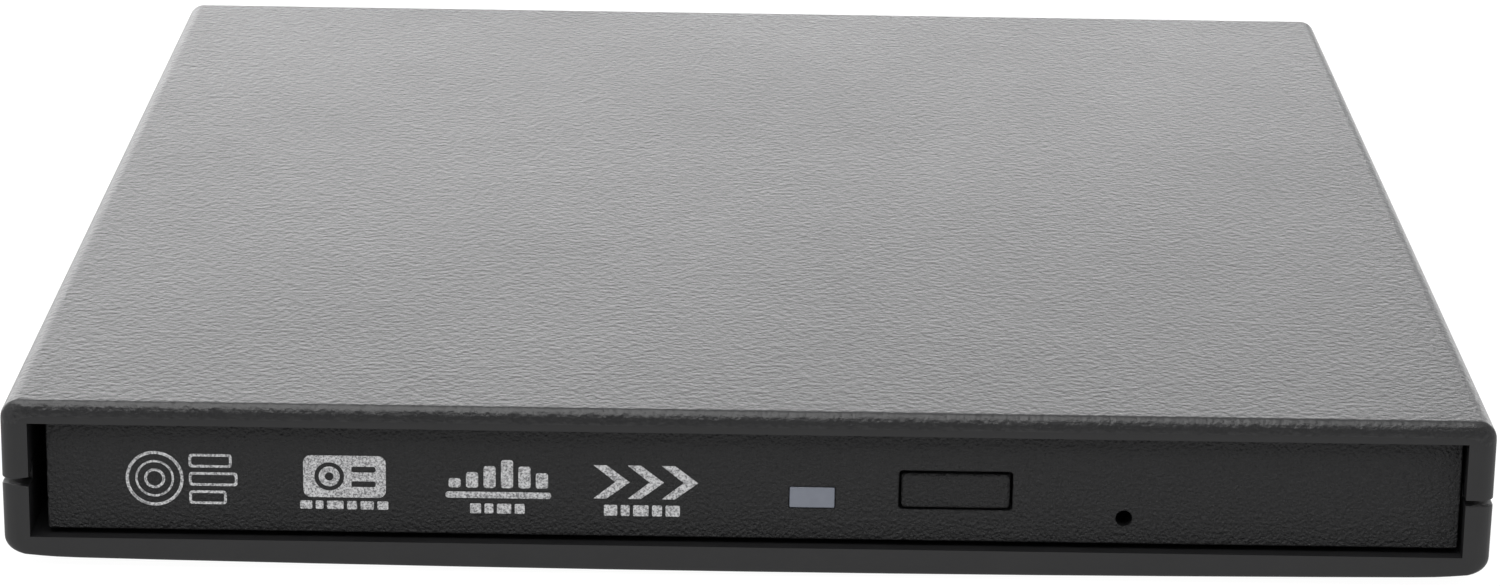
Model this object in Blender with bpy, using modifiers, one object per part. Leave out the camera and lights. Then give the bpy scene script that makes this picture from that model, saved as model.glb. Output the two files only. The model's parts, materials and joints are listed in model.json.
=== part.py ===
"""A slim external optical drive: a two-part case round a 9.5 mm tray drive and a USB bridge board.

The drive faces -Y, +Z is up, and the origin is the middle of the footprint on the surface that the
feet stand on. Dimensions are in millimetres here, and each mesh is scaled to metres as it is made.
"""

import math

import bmesh
import bpy
from mathutils import Vector

MM = 0.001

# Case
CASE_WIDTH = 135.0
CASE_DEPTH = 150.0
CASE_HEIGHT = 15.0
FOOT_PROUD = 0.8
CASE_BOTTOM = FOOT_PROUD
CASE_TOP = CASE_BOTTOM + CASE_HEIGHT
CASE_TOP_ROUND = 1.3
CASE_BOTTOM_ROUND = 1.5
BOW_DEPTH = 0.25
BOW_END = 0.5
BOW_STEPS = 12
LOWER_EDGE = 8.05
UPPER_EDGE = 8.6
INSIDE_HALF_WIDTH = 65.0
INSIDE_FLOOR = 2.93
INSIDE_ROOF = 13.76
BACK_INSIDE = 73.0
LIP_HALF_WIDTH = 66.0
LIP_TOP = 9.3
FOOT_PLACE = (50.0, 62.0)
FOOT_RADIUS = 5.0
CASE_SCREW_PLACE = (60.0, 67.0)
FIT = 0.3

# Drive, whose middle is a little right of the case's
MIDDLE = 0.53
DRIVE_HALF_WIDTH = 64.0
DRIVE_FRONT = -70.0
DRIVE_BACK = 56.0
DRIVE_BOTTOM = 3.5
DRIVE_TOP = 13.0
SHEET = 0.5
BEZEL_FRONT = -74.0
BEZEL_BACK = -70.7
BEZEL_BOTTOM = 3.45
BEZEL_TOP = 13.6

# Tray and its slides
TRAY_HALF_WIDTH = 59.3
TRAY_FRONT = -70.4
TRAY_BACK = 54.0
TRAY_BOTTOM = 5.0
TRAY_TOP = 12.0
TRAY_CEILING = 8.5
TRAY_WALL = 1.2
RAIL_FRONT = -68.0
RAIL_BACK = 54.0
DISC_FLOOR = 9.7
DISC_SEAT_RADIUS = 60.7
SMALL_DISC_FLOOR = 9.25
SMALL_DISC_SEAT_RADIUS = 40.5

# Front controls, as (low X, high X, low Z, high Z) or a centre
BUTTON = (13.89, 23.73, 6.66, 9.88)
BUTTON_OPENING = (13.66, 23.99, 6.48, 10.23)
LED_WINDOW = (3.77, 7.88, 6.49, 8.46)
LED_FIT = 0.06
EJECT_HOLE = (34.14, 5.89)
EJECT_HOLE_RADIUS = 0.76

# Spindle and pickup: u runs from the spindle to the front left corner, v is square to it
SPINDLE = (MIDDLE, -9.0)
TRAVERSE_TURN = math.radians(227.0)
TRAVERSE_END = 67.2
TRAVERSE_HALF_WIDTH = 13.8
TRAVERSE_HUB_RADIUS = 15.6
COVER_BOTTOM = 8.9
COVER_TOP = 9.3
ROTOR_RADIUS = 10.3
ROD_HEIGHT = 7.3
MAIN_ROD_V = 6.3
SUB_ROD_V = -11.6
LEAD_SCREW_V = 10.6
ROD_RADIUS = 0.75
SLED_START = 13.0
SLED_LENGTH = 18.0
SLED_BOTTOM = 6.0
SLED_TOP = 8.6
LENS_U = 24.0
PAWL_COUNT = 3

# Latch
LATCH_PIVOT = (47.0, -49.0)
LATCH_POST = (50.0, -62.0)
POST_CHANNEL = (48.2, 51.8)
MAIN_BOARD_BAY = (8.0, 56.0, 20.0)

ROUND_SIDES = 32
SMALL_SIDES = 16
SEAT_SIDES = 96
EDGE_STEPS = 3
MERGE = 1e-6

DARK_PLASTIC = ((0.036, 0.036, 0.038), 0.45, 0.0)
BEZEL_PLASTIC = ((0.024, 0.024, 0.025), 0.5, 0.0)
RUBBER = ((0.02, 0.02, 0.02), 0.85, 0.0)
STEEL = ((0.55, 0.56, 0.57), 0.3, 1.0)
BRIGHT_STEEL = ((0.7, 0.7, 0.71), 0.18, 1.0)
BRASS = ((0.72, 0.55, 0.25), 0.3, 1.0)
BOARD_GREEN = ((0.02, 0.12, 0.05), 0.5, 0.0)
CHIP_BLACK = ((0.015, 0.015, 0.016), 0.5, 0.0)
TRAY_PLASTIC = ((0.045, 0.045, 0.048), 0.5, 0.0)
WHITE_NYLON = ((0.75, 0.74, 0.7), 0.45, 0.0)
LED_GREY = ((0.2, 0.23, 0.25), 0.25, 0.0)
LENS_GLASS = ((0.35, 0.4, 0.6), 0.05, 0.0)
FLEX_AMBER = ((0.5, 0.22, 0.05), 0.4, 0.0)
COPPER = ((0.6, 0.25, 0.12), 0.35, 1.0)


def clear_scene():
    for old in list(bpy.data.objects):
        bpy.data.objects.remove(old)


def new_group(name):
    group = bpy.data.collections.new(name)
    bpy.context.scene.collection.children.link(group)
    return group


clear_scene()
PARTS = new_group("optical_drive")
TOOLS = new_group("cutters")


# Shapes


def add_object(name, mesh, parent):
    made = bpy.data.objects.new(name, mesh)
    made.parent = parent
    PARTS.objects.link(made)
    return made


def object_from(shape, name, parent):
    """An object in metres from a bmesh in millimetres."""
    bmesh.ops.scale(shape, vec=(MM, MM, MM), verts=shape.verts)
    mesh = bpy.data.meshes.new(name)
    shape.to_mesh(mesh)
    shape.free()
    return add_object(name, mesh, parent)


def frame(name, place=(0.0, 0.0, 0.0), turn=0.0, parent=None):
    """An empty that the pieces of one moving body, or of one tilted group, are built round."""
    made = add_object(name, None, parent)
    made.location = Vector(place) * MM
    made.rotation_euler.z = turn
    return made


def round_edges(shape, edges, radius):
    bmesh.ops.bevel(
        shape, geom=edges, offset=radius, segments=EDGE_STEPS, profile=0.5, affect="EDGES", clamp_overlap=False
    )


def level_edges(shape, height):
    return [edge for edge in shape.edges if all(abs(vert.co.z - height) < MERGE for vert in edge.verts)]


def block(name, low, high, parent=None, corner=0.0, top=0.0):
    """A box between two corners, with rounded upright corners or top edges."""
    shape = bmesh.new()
    bmesh.ops.create_cube(shape, size=1.0)
    for vert in shape.verts:
        vert.co = [low[i] + (vert.co[i] + 0.5) * (high[i] - low[i]) for i in range(3)]
    if corner:
        upright = [edge for edge in shape.edges if abs(edge.verts[0].co.z - edge.verts[1].co.z) > MERGE]
        round_edges(shape, upright, corner)
    if top:
        round_edges(shape, level_edges(shape, high[2]), top)
    return object_from(shape, name, parent)


def rod(name, start, end, radius, parent=None, sides=SMALL_SIDES):
    """A cylinder between two points."""
    start = Vector(start)
    run = Vector(end) - start
    shape = bmesh.new()
    bmesh.ops.create_cone(
        shape, cap_ends=True, segments=sides, radius1=radius, radius2=radius, depth=run.length
    )
    bmesh.ops.rotate(shape, verts=shape.verts, matrix=run.to_track_quat("Z", "Y").to_matrix())
    bmesh.ops.translate(shape, verts=shape.verts, vec=start + run / 2)
    made = object_from(shape, name, parent)
    made.data.shade_smooth()
    made.data.set_sharp_from_angle(angle=math.radians(35))
    return made


def turned(name, profile, parent=None, sides=ROUND_SIDES):
    """A profile of (radius, height) points, given down its outer side, turned about the parent's Z axis."""
    mesh = bpy.data.meshes.new(name)
    points = [(radius * MM, 0.0, height * MM) for radius, height in profile]
    links = [(index, index + 1) for index in range(len(points) - 1)]
    mesh.from_pydata(points, links, [])
    made = add_object(name, mesh, parent)
    screw = made.modifiers.new("turn", "SCREW")
    screw.steps = sides
    screw.render_steps = sides
    screw.use_merge_vertices = True
    screw.merge_threshold = MERGE
    return made


def combine(target, tool, operation):
    """Cuts the tool from the target or joins it on. The tool then only guides the shape."""
    PARTS.objects.unlink(tool)
    TOOLS.objects.link(tool)
    tool.hide_render = True
    tool.display_type = "WIRE"
    step = target.modifiers.new(tool.name, "BOOLEAN")
    step.operation = operation
    step.object = tool


def cut(target, *tools):
    for tool in tools:
        combine(target, tool, "DIFFERENCE")


def join(target, *tools):
    for tool in tools:
        combine(target, tool, "UNION")


def paint(target, look):
    """Gives the node its own material from a (colour, roughness, metallic) look."""
    colour, roughness, metallic = look
    material = bpy.data.materials.new(target.name)
    material.use_nodes = True
    shader = material.node_tree.nodes["Principled BSDF"]
    shader.inputs["Base Color"].default_value = (*colour, 1.0)
    shader.inputs["Roughness"].default_value = roughness
    shader.inputs["Metallic"].default_value = metallic
    target.data.materials.append(material)


# Case


def case_screw_boss(side):
    x, y = side * CASE_SCREW_PLACE[0], CASE_SCREW_PLACE[1]
    return rod(f"boss {side}", (x, y, INSIDE_FLOOR + FIT), (x, y, INSIDE_ROOF + 0.5), 3.0, sides=ROUND_SIDES)


def case_screw_hole(side, radius, low, high):
    x, y = side * CASE_SCREW_PLACE[0], CASE_SCREW_PLACE[1]
    return rod(f"screw hole {side}", (x, y, low), (x, y, high), radius)


def port_openings():
    """The back wall's openings round the USB socket and the power jack."""
    usb = block("usb opening", (-24.4, 72.0, 4.9), (-15.9, 76.0, 9.6))
    power = block("power opening", (3.6, 72.0, 4.9), (10.9, 76.0, 11.7))
    return usb, power


def bowed_base():
    """The base's section as (x, z): rounded corners, and a bow that is deepest in the middle."""
    corner_x = CASE_WIDTH / 2 - CASE_BOTTOM_ROUND
    deepest = CASE_BOTTOM - BOW_DEPTH
    points = []
    for step in range(BOW_STEPS + 1):
        share = 2 * step / BOW_STEPS - 1
        points.append((corner_x * share, deepest + BOW_END * share**2))
    centre_z = deepest + BOW_END + CASE_BOTTOM_ROUND
    corner = []
    for step in range(1, 5):
        angle = step / 4 * math.pi / 2
        offset_x, offset_z = CASE_BOTTOM_ROUND * math.sin(angle), CASE_BOTTOM_ROUND * math.cos(angle)
        corner.append((corner_x + offset_x, centre_z - offset_z))
    return [(-x, z) for x, z in reversed(corner)] + points + corner


def make_bottom_cover():
    half_width, half_depth = CASE_WIDTH / 2, CASE_DEPTH / 2
    outline = bowed_base() + [(half_width, LOWER_EDGE), (-half_width, LOWER_EDGE)]
    shape = bmesh.new()
    front, back = ([shape.verts.new((x, y, z)) for x, z in outline] for y in (-half_depth, half_depth))
    shape.faces.new(front)
    shape.faces.new(reversed(back))
    for index in range(len(outline)):
        shape.faces.new((front[index - 1], back[index - 1], back[index], front[index]))
    cover = object_from(shape, "bottom_cover", None)
    lip = block("lip", (-LIP_HALF_WIDTH, -74.2, 2.0), (LIP_HALF_WIDTH, 74.0, LIP_TOP), corner=1.2)
    join(cover, lip)
    cut(cover, block("case inside", (-INSIDE_HALF_WIDTH, -80, INSIDE_FLOOR), (INSIDE_HALF_WIDTH, BACK_INSIDE, 20)))
    for side in (-1, 1):
        cut(cover, case_screw_hole(side, 1.5, 0.0, 4.0), case_screw_hole(side, 2.6, 0.0, 2.4))
        for end in (-1, 1):
            x, y = side * FOOT_PLACE[0], end * FOOT_PLACE[1]
            cut(cover, rod("foot recess", (x, y, 0.0), (x, y, 1.7), FOOT_RADIUS + FIT, sides=ROUND_SIDES))
    for x in (-30.0, 0.0, 30.0):
        join(cover, block("board rib", (x - 1.0, 60.0, INSIDE_FLOOR - 0.4), (x + 1.0, 71.0, 3.9)))
    cut(cover, *port_openings())
    paint(cover, DARK_PLASTIC)


def make_top_cover():
    half_width, half_depth = CASE_WIDTH / 2, CASE_DEPTH / 2
    cover = block(
        "top_cover",
        (-half_width, -half_depth, UPPER_EDGE),
        (half_width, half_depth, CASE_TOP),
        top=CASE_TOP_ROUND,
    )
    cut(cover, block("case inside", (-INSIDE_HALF_WIDTH, -80, 0), (INSIDE_HALF_WIDTH, BACK_INSIDE, INSIDE_ROOF)))
    rebate = LIP_HALF_WIDTH + FIT
    cut(cover, block("lip rebate", (-rebate, -74.5, 8.0), (rebate, 74.3, LIP_TOP + FIT), corner=1.4))
    for side in (-1, 1):
        join(cover, case_screw_boss(side))
        cut(cover, case_screw_hole(side, 1.4, 2.0, 9.5))
    cut(cover, *port_openings())
    paint(cover, DARK_PLASTIC)


def make_feet():
    names = {(-1, -1): "foot_front_left", (1, -1): "foot_front_right"}
    names |= {(-1, 1): "foot_rear_left", (1, 1): "foot_rear_right"}
    for (side, end), name in names.items():
        x, y = side * FOOT_PLACE[0], end * FOOT_PLACE[1]
        foot = turned(name, [(0, 1.4), (FOOT_RADIUS, 1.4), (FOOT_RADIUS, 0.35), (4.7, 0), (0, 0)])
        foot.location = Vector((x, y, 0)) * MM
        paint(foot, RUBBER)


def make_screw(name, x, y, head_bottom, length, head_radius=2.2, shank_radius=1.1):
    """A pan head screw, driven upwards, with a cross recess in its head."""
    head_top = head_bottom + 1.1
    profile = [(0, head_top + length), (shank_radius, head_top + length - 0.6), (shank_radius, head_top)]
    profile += [(head_radius, head_top), (head_radius, head_bottom + 0.3)]
    profile += [(head_radius - 0.4, head_bottom), (0, head_bottom)]
    screw = turned(name, profile, sides=SMALL_SIDES)
    screw.location = Vector((x, y, 0)) * MM
    for long_x, long_y in ((1.1, 0.28), (0.28, 1.1)):
        low = (x - long_x, y - long_y, head_bottom - 1.0)
        cut(screw, block("cross recess", low, (x + long_x, y + long_y, head_bottom + 0.6)))
    paint(screw, STEEL)


# Bridge board at the back of the case


def make_bridge_board():
    board = block("bridge_board", (-40.0, 58.2, 4.2), (54.0, 72.6, 5.0))
    paint(board, BOARD_GREEN)
    chip = block("bridge_chip", (-7.0, 60.5, 5.3), (2.0, 69.5, 6.5))
    paint(chip, CHIP_BLACK)
    crystal = block("bridge_crystal", (-36.0, 64.0, 5.3), (-26.0, 68.0, 8.4), corner=1.9, top=0.5)
    paint(crystal, STEEL)


def make_sata_socket():
    socket = block("sata_socket", (18.5, 57.8, 5.3), (51.5, 66.0, 9.0))
    cut(socket, block("socket mouth", (20.0, 57.0, 6.4), (50.0, 62.0, 7.6)))
    paint(socket, CHIP_BLACK)


def make_usb_socket():
    shell = block("usb_socket_shell", (-24.0, 65.0, 5.3), (-16.3, 74.6, 9.2), corner=0.4)
    cut(shell, block("usb mouth", (-23.6, 66.0, 5.7), (-16.7, 76.0, 8.8)))
    paint(shell, BRIGHT_STEEL)
    tongue = block("usb_socket_tongue", (-22.6, 66.3, 6.9), (-17.7, 73.4, 7.7))
    paint(tongue, CHIP_BLACK)


def make_power_jack():
    middle, height = 7.25, 8.3
    jack = block("power_jack", (4.0, 63.0, 5.3), (10.5, 74.4, 11.3), corner=0.3)
    cut(jack, rod("jack bore", (middle, 66.0, height), (middle, 76.0, height), 1.9, sides=ROUND_SIDES))
    paint(jack, CHIP_BLACK)
    pin = rod("power_jack_pin", (middle, 66.3, height), (middle, 73.2, height), 0.6)
    paint(pin, BRIGHT_STEEL)


def make_drive_bracket():
    """The sheet angle that ties the drive's back to the case floor."""
    bracket = block("drive_bracket", (-56.0, 56.3, 3.3), (-44.0, 66.0, 3.9))
    join(bracket, block("bracket upright", (-56.0, 56.3, 3.5), (-44.0, 56.9, 9.0)))
    cut(bracket, rod("bracket hole", (-50.0, 62.0, 3.0), (-50.0, 62.0, 4.5), 1.3))
    paint(bracket, STEEL)
    screw = turned(
        "bracket_screw",
        [(0, 5.1), (1.4, 5.1), (1.9, 4.7), (1.9, 4.2), (1.0, 4.2), (1.0, 3.25), (0, 3.25)],
        sides=SMALL_SIDES,
    )
    screw.location = Vector((-50.0, 62.0, 0)) * MM
    paint(screw, STEEL)


# Drive: the fixed pieces


def make_drive_case():
    half = DRIVE_HALF_WIDTH
    pan = block("drive_case", (MIDDLE - half, DRIVE_FRONT, DRIVE_BOTTOM), (MIDDLE + half, DRIVE_BACK, 12.2))
    inner = half - SHEET
    low = (MIDDLE - inner, DRIVE_FRONT - 5, DRIVE_BOTTOM + SHEET)
    cut(pan, block("pan inside", low, (MIDDLE + inner, DRIVE_BACK - SHEET, 20)))
    cut(pan, block("plug opening", (19.0, 52.0, 4.8), (51.0, 60.0, 8.8)))
    paint(pan, STEEL)


def make_drive_lid():
    half = DRIVE_HALF_WIDTH
    lid = block("drive_lid", (MIDDLE - half, DRIVE_FRONT, 12.5), (MIDDLE + half, DRIVE_BACK, DRIVE_TOP))
    paint(lid, STEEL)


def make_rail_guide(name, side):
    """A channel along the drive's side, open inwards, that a slide rail runs in."""
    def outward(x):
        return MIDDLE + side * x

    def span(name, inner, outer, low, high):
        ends = sorted((outward(inner), outward(outer)))
        return block(name, (ends[0], RAIL_FRONT, low), (ends[1], RAIL_BACK, high))

    guide = span(name, 60.4, 63.2, 5.2, 9.4)
    cut(guide, span("guide slot", 60.0, 62.3, 5.7, 8.9))
    paint(guide, WHITE_NYLON)


def make_slide_rail(name, side):
    def span(name, inner, outer, low, high):
        ends = sorted((MIDDLE + side * inner, MIDDLE + side * outer))
        return block(name, (ends[0], RAIL_FRONT, low), (ends[1], RAIL_BACK, high))

    rail = span(name, 60.4, 62.0, 6.0, 8.6)
    cut(rail, span("rail slot", 60.0, 61.4, 6.5, 8.1))
    paint(rail, BRIGHT_STEEL)


def make_drive_board():
    board = block("drive_board", (10.0, 23.0, 4.3), (54.0, 55.2, 5.1))
    paint(board, BOARD_GREEN)
    chip = block("drive_chip", (26.0, 28.0, 5.4), (40.0, 42.0, 6.6))
    paint(chip, CHIP_BLACK)
    plug = block("sata_plug", (20.0, 47.0, 5.4), (50.0, 57.5, 8.2))
    paint(plug, CHIP_BLACK)


def make_latch_post():
    x, y = LATCH_POST
    post = rod("latch_post", (x, y, DRIVE_BOTTOM + SHEET + FIT), (x, y, 8.2), 1.0)
    paint(post, BRIGHT_STEEL)


def make_ribbon_cable():
    """The flat cable between the drive board and the tray, folded once under the tray."""
    ribbon = block("ribbon_cable", (20.0, -28.0, 4.2), (32.0, 22.6, 5.2))
    cut(ribbon, block("ribbon gap", (19.0, -27.8, 4.35), (33.0, 24.0, 5.05)))
    paint(ribbon, FLEX_AMBER)


# Tray and what is fixed to it


def make_tray(tray_frame, traverse):
    half = TRAY_HALF_WIDTH
    low = (MIDDLE - half, TRAY_FRONT, TRAY_BOTTOM)
    tray = block("tray", low, (MIDDLE + half, TRAY_BACK, TRAY_TOP), tray_frame, corner=3.0)
    inner = half - TRAY_WALL
    cavity_low = (MIDDLE - inner, TRAY_FRONT + TRAY_WALL, 0.0)
    cut(tray, block("tray cavity", cavity_low, (MIDDLE + inner, TRAY_BACK - TRAY_WALL, TRAY_CEILING)))
    x, y = SPINDLE
    cut(
        tray,
        rod("disc seat", (x, y, DISC_FLOOR), (x, y, 20), DISC_SEAT_RADIUS, sides=SEAT_SIDES),
        rod("small disc seat", (x, y, SMALL_DISC_FLOOR), (x, y, 10), SMALL_DISC_SEAT_RADIUS, sides=SEAT_SIDES),
        rod("hub window", (x, y, 0), (x, y, 20), TRAVERSE_HUB_RADIUS + 0.4, sides=ROUND_SIDES),
    )
    reach = TRAVERSE_HALF_WIDTH + 0.4
    cut(tray, block("pickup window", (0, -reach, 0), (TRAVERSE_END + 0.4, reach, 20), traverse, corner=2.0))
    for side in (-1, 1):
        ends = sorted((MIDDLE + side * (half - 0.5), MIDDLE + side * 61.1))
        join(tray, block("tray tongue", (ends[0], RAIL_FRONT, 6.8), (ends[1], RAIL_BACK, 7.8)))
    bay_left, bay_right, bay_front = MAIN_BOARD_BAY
    cut(tray, block("board bay", (bay_left, bay_front, 0), (bay_right, 60, TRAY_CEILING)))
    cut(tray, block("button stem hole", (17.0, -72.0, 6.5), (20.6, -69.0, TRAY_CEILING)))
    cut(tray, eject_hole_tool())
    x, y = LATCH_PIVOT
    join(tray, rod("latch pivot", (x, y, TRAY_BOTTOM + 0.3), (x, y, TRAY_CEILING + 0.5), 1.0))
    cut(tray, rod("plunger hole", (-45.0, 50.0, 6.8), (-45.0, 56.0, 6.8), 1.1))
    paint(tray, TRAY_PLASTIC)


def eject_hole_tool():
    x, z = EJECT_HOLE
    return rod("eject hole", (x, -76.0, z), (x, -68.0, z), EJECT_HOLE_RADIUS, sides=ROUND_SIDES)


def make_tray_base_plate(tray_frame):
    plate = block("tray_base_plate", (MIDDLE - 58.5, -70.0, 4.3), (MIDDLE + 58.5, 53.5, 4.7), tray_frame)
    bay_left, bay_right, bay_front = MAIN_BOARD_BAY
    cut(
        plate,
        block("plate bay", (bay_left, bay_front, 0), (bay_right, 60, 9)),
        block("post channel", (POST_CHANNEL[0], -64.0, 0), (POST_CHANNEL[1], 60, 9)),
        block("ribbon channel", (19.0, -29.0, 0), (33.0, 30.0, 9)),
    )
    paint(plate, STEEL)


def make_bezel(tray_frame):
    half = DRIVE_HALF_WIDTH
    low = (MIDDLE - half, BEZEL_FRONT, BEZEL_BOTTOM)
    bezel = block("bezel", low, (MIDDLE + half, BEZEL_BACK, BEZEL_TOP), tray_frame)
    left, right, bottom, top = BUTTON_OPENING
    cut(bezel, block("button opening", (left, -80, bottom), (right, -60, top)))
    left, right, bottom, top = LED_WINDOW
    low = (left - LED_FIT, -80, bottom - LED_FIT)
    cut(bezel, block("led opening", low, (right + LED_FIT, -60, top + LED_FIT)))
    cut(bezel, eject_hole_tool())
    paint(bezel, BEZEL_PLASTIC)


def make_led(tray_frame):
    left, right, bottom, top = LED_WINDOW
    window = block("led_window", (left, BEZEL_FRONT, bottom), (right, -71.0, top), tray_frame)
    paint(window, LED_GREY)
    lamp = block("status_led", (4.6, -68.6, 5.7), (7.0, -67.0, 8.0), tray_frame)
    paint(lamp, WHITE_NYLON)


def make_tray_board(tray_frame):
    board = block("tray_board", (-2.0, -68.8, 5.0), (46.0, -59.0, 5.4), tray_frame)
    paint(board, BOARD_GREEN)
    switch = block("eject_switch", (16.8, -67.7, 5.7), (20.8, -65.0, 8.2), tray_frame)
    paint(switch, CHIP_BLACK)


def make_solenoid(tray_frame):
    body = block("solenoid", (26.0, -57.5, 5.0), (39.0, -50.5, 8.2), tray_frame, corner=0.8)
    cut(body, block("solenoid bore", (34.0, -55.1, 5.9), (40.0, -52.9, 7.5)))
    paint(body, COPPER)


def make_eject_spring(tray_frame):
    """The plunger that starts the tray on its way out, and the spring behind it."""
    x, z = -45.0, 6.8
    plunger = rod("eject_plunger", (x, 34.0, z), (x, 55.1, z), 0.7, tray_frame)
    join(plunger, rod("plunger collar", (x, 50.6, z), (x, 51.4, z), 1.5))
    paint(plunger, WHITE_NYLON)
    turns, steps, start, end = 6, 10, 36.0, 50.0
    curve = bpy.data.curves.new("eject_spring", "CURVE")
    curve.dimensions = "3D"
    curve.bevel_depth = 0.18 * MM
    curve.bevel_resolution = 2
    curve.use_fill_caps = True
    line = curve.splines.new("POLY")
    count = turns * steps
    line.points.add(count)
    for index, point in enumerate(line.points):
        angle = index / steps * math.tau
        y = start + (end - start) * index / count
        place = (x + 1.25 * math.cos(angle), y, z + 1.25 * math.sin(angle))
        point.co = (*(Vector(place) * MM), 1.0)
    paint(add_object("eject_spring", curve, tray_frame), BRIGHT_STEEL)


# Traverse: the spindle motor and the pickup's guides


def traverse_outline(name, low, high, traverse):
    """A plate of the traverse's outline: a strip along the pickup's run and a disc round the spindle."""
    strip = block(name, (0, -TRAVERSE_HALF_WIDTH, low), (TRAVERSE_END, TRAVERSE_HALF_WIDTH, high), traverse, corner=1.8)
    join(strip, rod(f"{name} hub", (0, 0, low), (0, 0, high), TRAVERSE_HUB_RADIUS, traverse, ROUND_SIDES))
    return strip


def make_traverse_cover(traverse):
    cover = traverse_outline("traverse_cover", COVER_BOTTOM, COVER_TOP, traverse)
    cut(
        cover,
        rod("rotor hole", (0, 0, 8), (0, 0, 10), ROTOR_RADIUS + 0.5, traverse, ROUND_SIDES),
        block("lens slot", (14.5, -5.2, 8), (65.0, 5.2, 10), traverse, corner=1.5),
    )
    paint(cover, STEEL)


def make_traverse_frame(traverse):
    chassis = traverse_outline("traverse_frame", 5.1, 5.7, traverse)
    cut(
        chassis,
        rod("motor hole", (0, 0, 4), (0, 0, 7), 11.3, traverse, ROUND_SIDES),
        block("pickup well", (15.0, -9.0, 4), (63.0, 4.5, 7), traverse, corner=1.5),
    )
    bore = ROD_RADIUS + FIT
    inner_posts, outer_posts = (11.6, 12.7), (65.5, 66.7)
    for start, end in (inner_posts, outer_posts):
        join(
            chassis,
            block("main post", (start, MAIN_ROD_V - 1.4, 5.4), (end, MAIN_ROD_V + 1.4, 8.6), traverse),
            block("sub post", (start, SUB_ROD_V - 1.4, 5.4), (end, SUB_ROD_V + 1.4, 8.6), traverse),
        )
    start, end = inner_posts
    join(chassis, block("screw post", (start, LEAD_SCREW_V - 1.5, 5.4), (end, LEAD_SCREW_V + 1.5, 8.6), traverse))
    for v in (MAIN_ROD_V, SUB_ROD_V):
        cut(chassis, rod("rod bore", (10, v, ROD_HEIGHT), (68, v, ROD_HEIGHT), bore, traverse))
    v = LEAD_SCREW_V
    cut(chassis, rod("screw bore", (10, v, ROD_HEIGHT), (15, v, ROD_HEIGHT), 1.1, traverse))
    paint(chassis, STEEL)


def make_guide_rods(traverse):
    for name, v in (("main_guide_rod", MAIN_ROD_V), ("sub_guide_rod", SUB_ROD_V)):
        guide = rod(name, (11.8, v, ROD_HEIGHT), (66.5, v, ROD_HEIGHT), ROD_RADIUS, traverse)
        paint(guide, BRIGHT_STEEL)


def make_feed_motor(traverse):
    motor = block("feed_motor", (53.5, 8.6, 6.0), (65.2, 13.6, 8.6), traverse, corner=1.0)
    paint(motor, STEEL)


def make_spindle(traverse, spindle_frame):
    base = turned(
        "spindle_motor_base",
        [(1.3, 6.2), (11.0, 6.2), (11.0, 5.1), (1.3, 5.1), (1.3, 6.2)],
        traverse,
    )
    paint(base, STEEL)
    rotor = turned(
        "spindle_rotor",
        [(0, 12.1), (1.0, 12.1), (1.0, 9.35), (9.8, 9.35), (ROTOR_RADIUS, 8.9), (ROTOR_RADIUS, 6.6), (1.0, 6.6),
         (1.0, 5.3), (0, 5.3)],
        spindle_frame,
    )
    paint(rotor, BRIGHT_STEEL)
    table = turned(
        "turntable",
        [(1.3, 12.0), (6.6, 12.0), (7.3, 11.4), (7.3, 10.5), (12.5, 10.5), (12.5, 9.65), (1.3, 9.65), (1.3, 12.0)],
        spindle_frame,
    )
    for index in range(PAWL_COUNT):
        pawl_frame = frame(f"pawl_frame_{index + 1}", turn=math.tau * index / PAWL_COUNT, parent=spindle_frame)
        cut(table, block("pawl slot", (4.2, -1.5, 10.8), (9.0, 1.5, 13.0), pawl_frame))
        pawl = block(f"clamp_pawl_{index + 1}", (5.0, -1.2, 11.1), (7.7, 1.2, 11.9), pawl_frame, top=0.25)
        paint(pawl, WHITE_NYLON)
    paint(table, CHIP_BLACK)


# Pickup


def make_pickup_sled(sled_frame):
    """The carriage: a block beside the main rod, two ears on it, a nut arm and an arm over the sub rod."""
    u, end = SLED_START, SLED_START + SLED_LENGTH
    sled = block("pickup_sled", (u, -10.0, SLED_BOTTOM), (end, 4.4, SLED_TOP), sled_frame, corner=0.8)
    for start in (u, end - 4.0):
        join(sled, block("ear", (start, 3.4, SLED_BOTTOM), (start + 4.0, 8.0, SLED_TOP), sled_frame))
    join(sled, block("nut arm", (u + 0.5, 7.5, 8.35), (u + 3.5, 11.6, SLED_TOP), sled_frame))
    join(sled, block("sub arm", (u + 6.0, -12.6, 8.3), (u + 12.0, -9.5, SLED_TOP), sled_frame))
    bore_ends = (u - 2.0, MAIN_ROD_V, ROD_HEIGHT), (end + 2.0, MAIN_ROD_V, ROD_HEIGHT)
    cut(sled, rod("ear bore", *bore_ends, ROD_RADIUS + FIT, sled_frame))
    cut(sled, block("lens well", (LENS_U - 3.6, -3.6, 6.6), (LENS_U + 3.6, 3.6, 10), sled_frame))
    paint(sled, STEEL)


def make_lens(lens_frame):
    holder = block("lens_holder", (-3.2, -3.2, 7.2), (3.2, 3.2, 9.0), lens_frame, corner=0.6)
    cut(holder, rod("lens seat", (0, 0, 8.4), (0, 0, 10), 2.2, lens_frame, ROUND_SIDES))
    paint(holder, CHIP_BLACK)
    dome = [(0, 9.6), (0.8, 9.5), (1.4, 9.25), (1.7, 9.0), (1.9, 9.0), (1.9, 8.7), (0, 8.7)]
    paint(turned("objective_lens", dome, lens_frame), LENS_GLASS)


def make_lead_screw(screw_frame):
    """A worm with square threads, along its frame's X axis."""
    start, end, pitch, groove = 12.0, 53.2, 3.0, 1.2
    screw = rod("lead_screw", (start, 0, 0), (end, 0, 0), 0.62, screw_frame)
    first = start + 2.0
    for index in range(int((end - first) // pitch)):
        u = first + index * pitch
        join(screw, rod("thread", (u, 0, 0), (u + pitch - groove, 0, 0), 0.8, screw_frame))
    paint(screw, BRIGHT_STEEL)


# Latch


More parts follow.
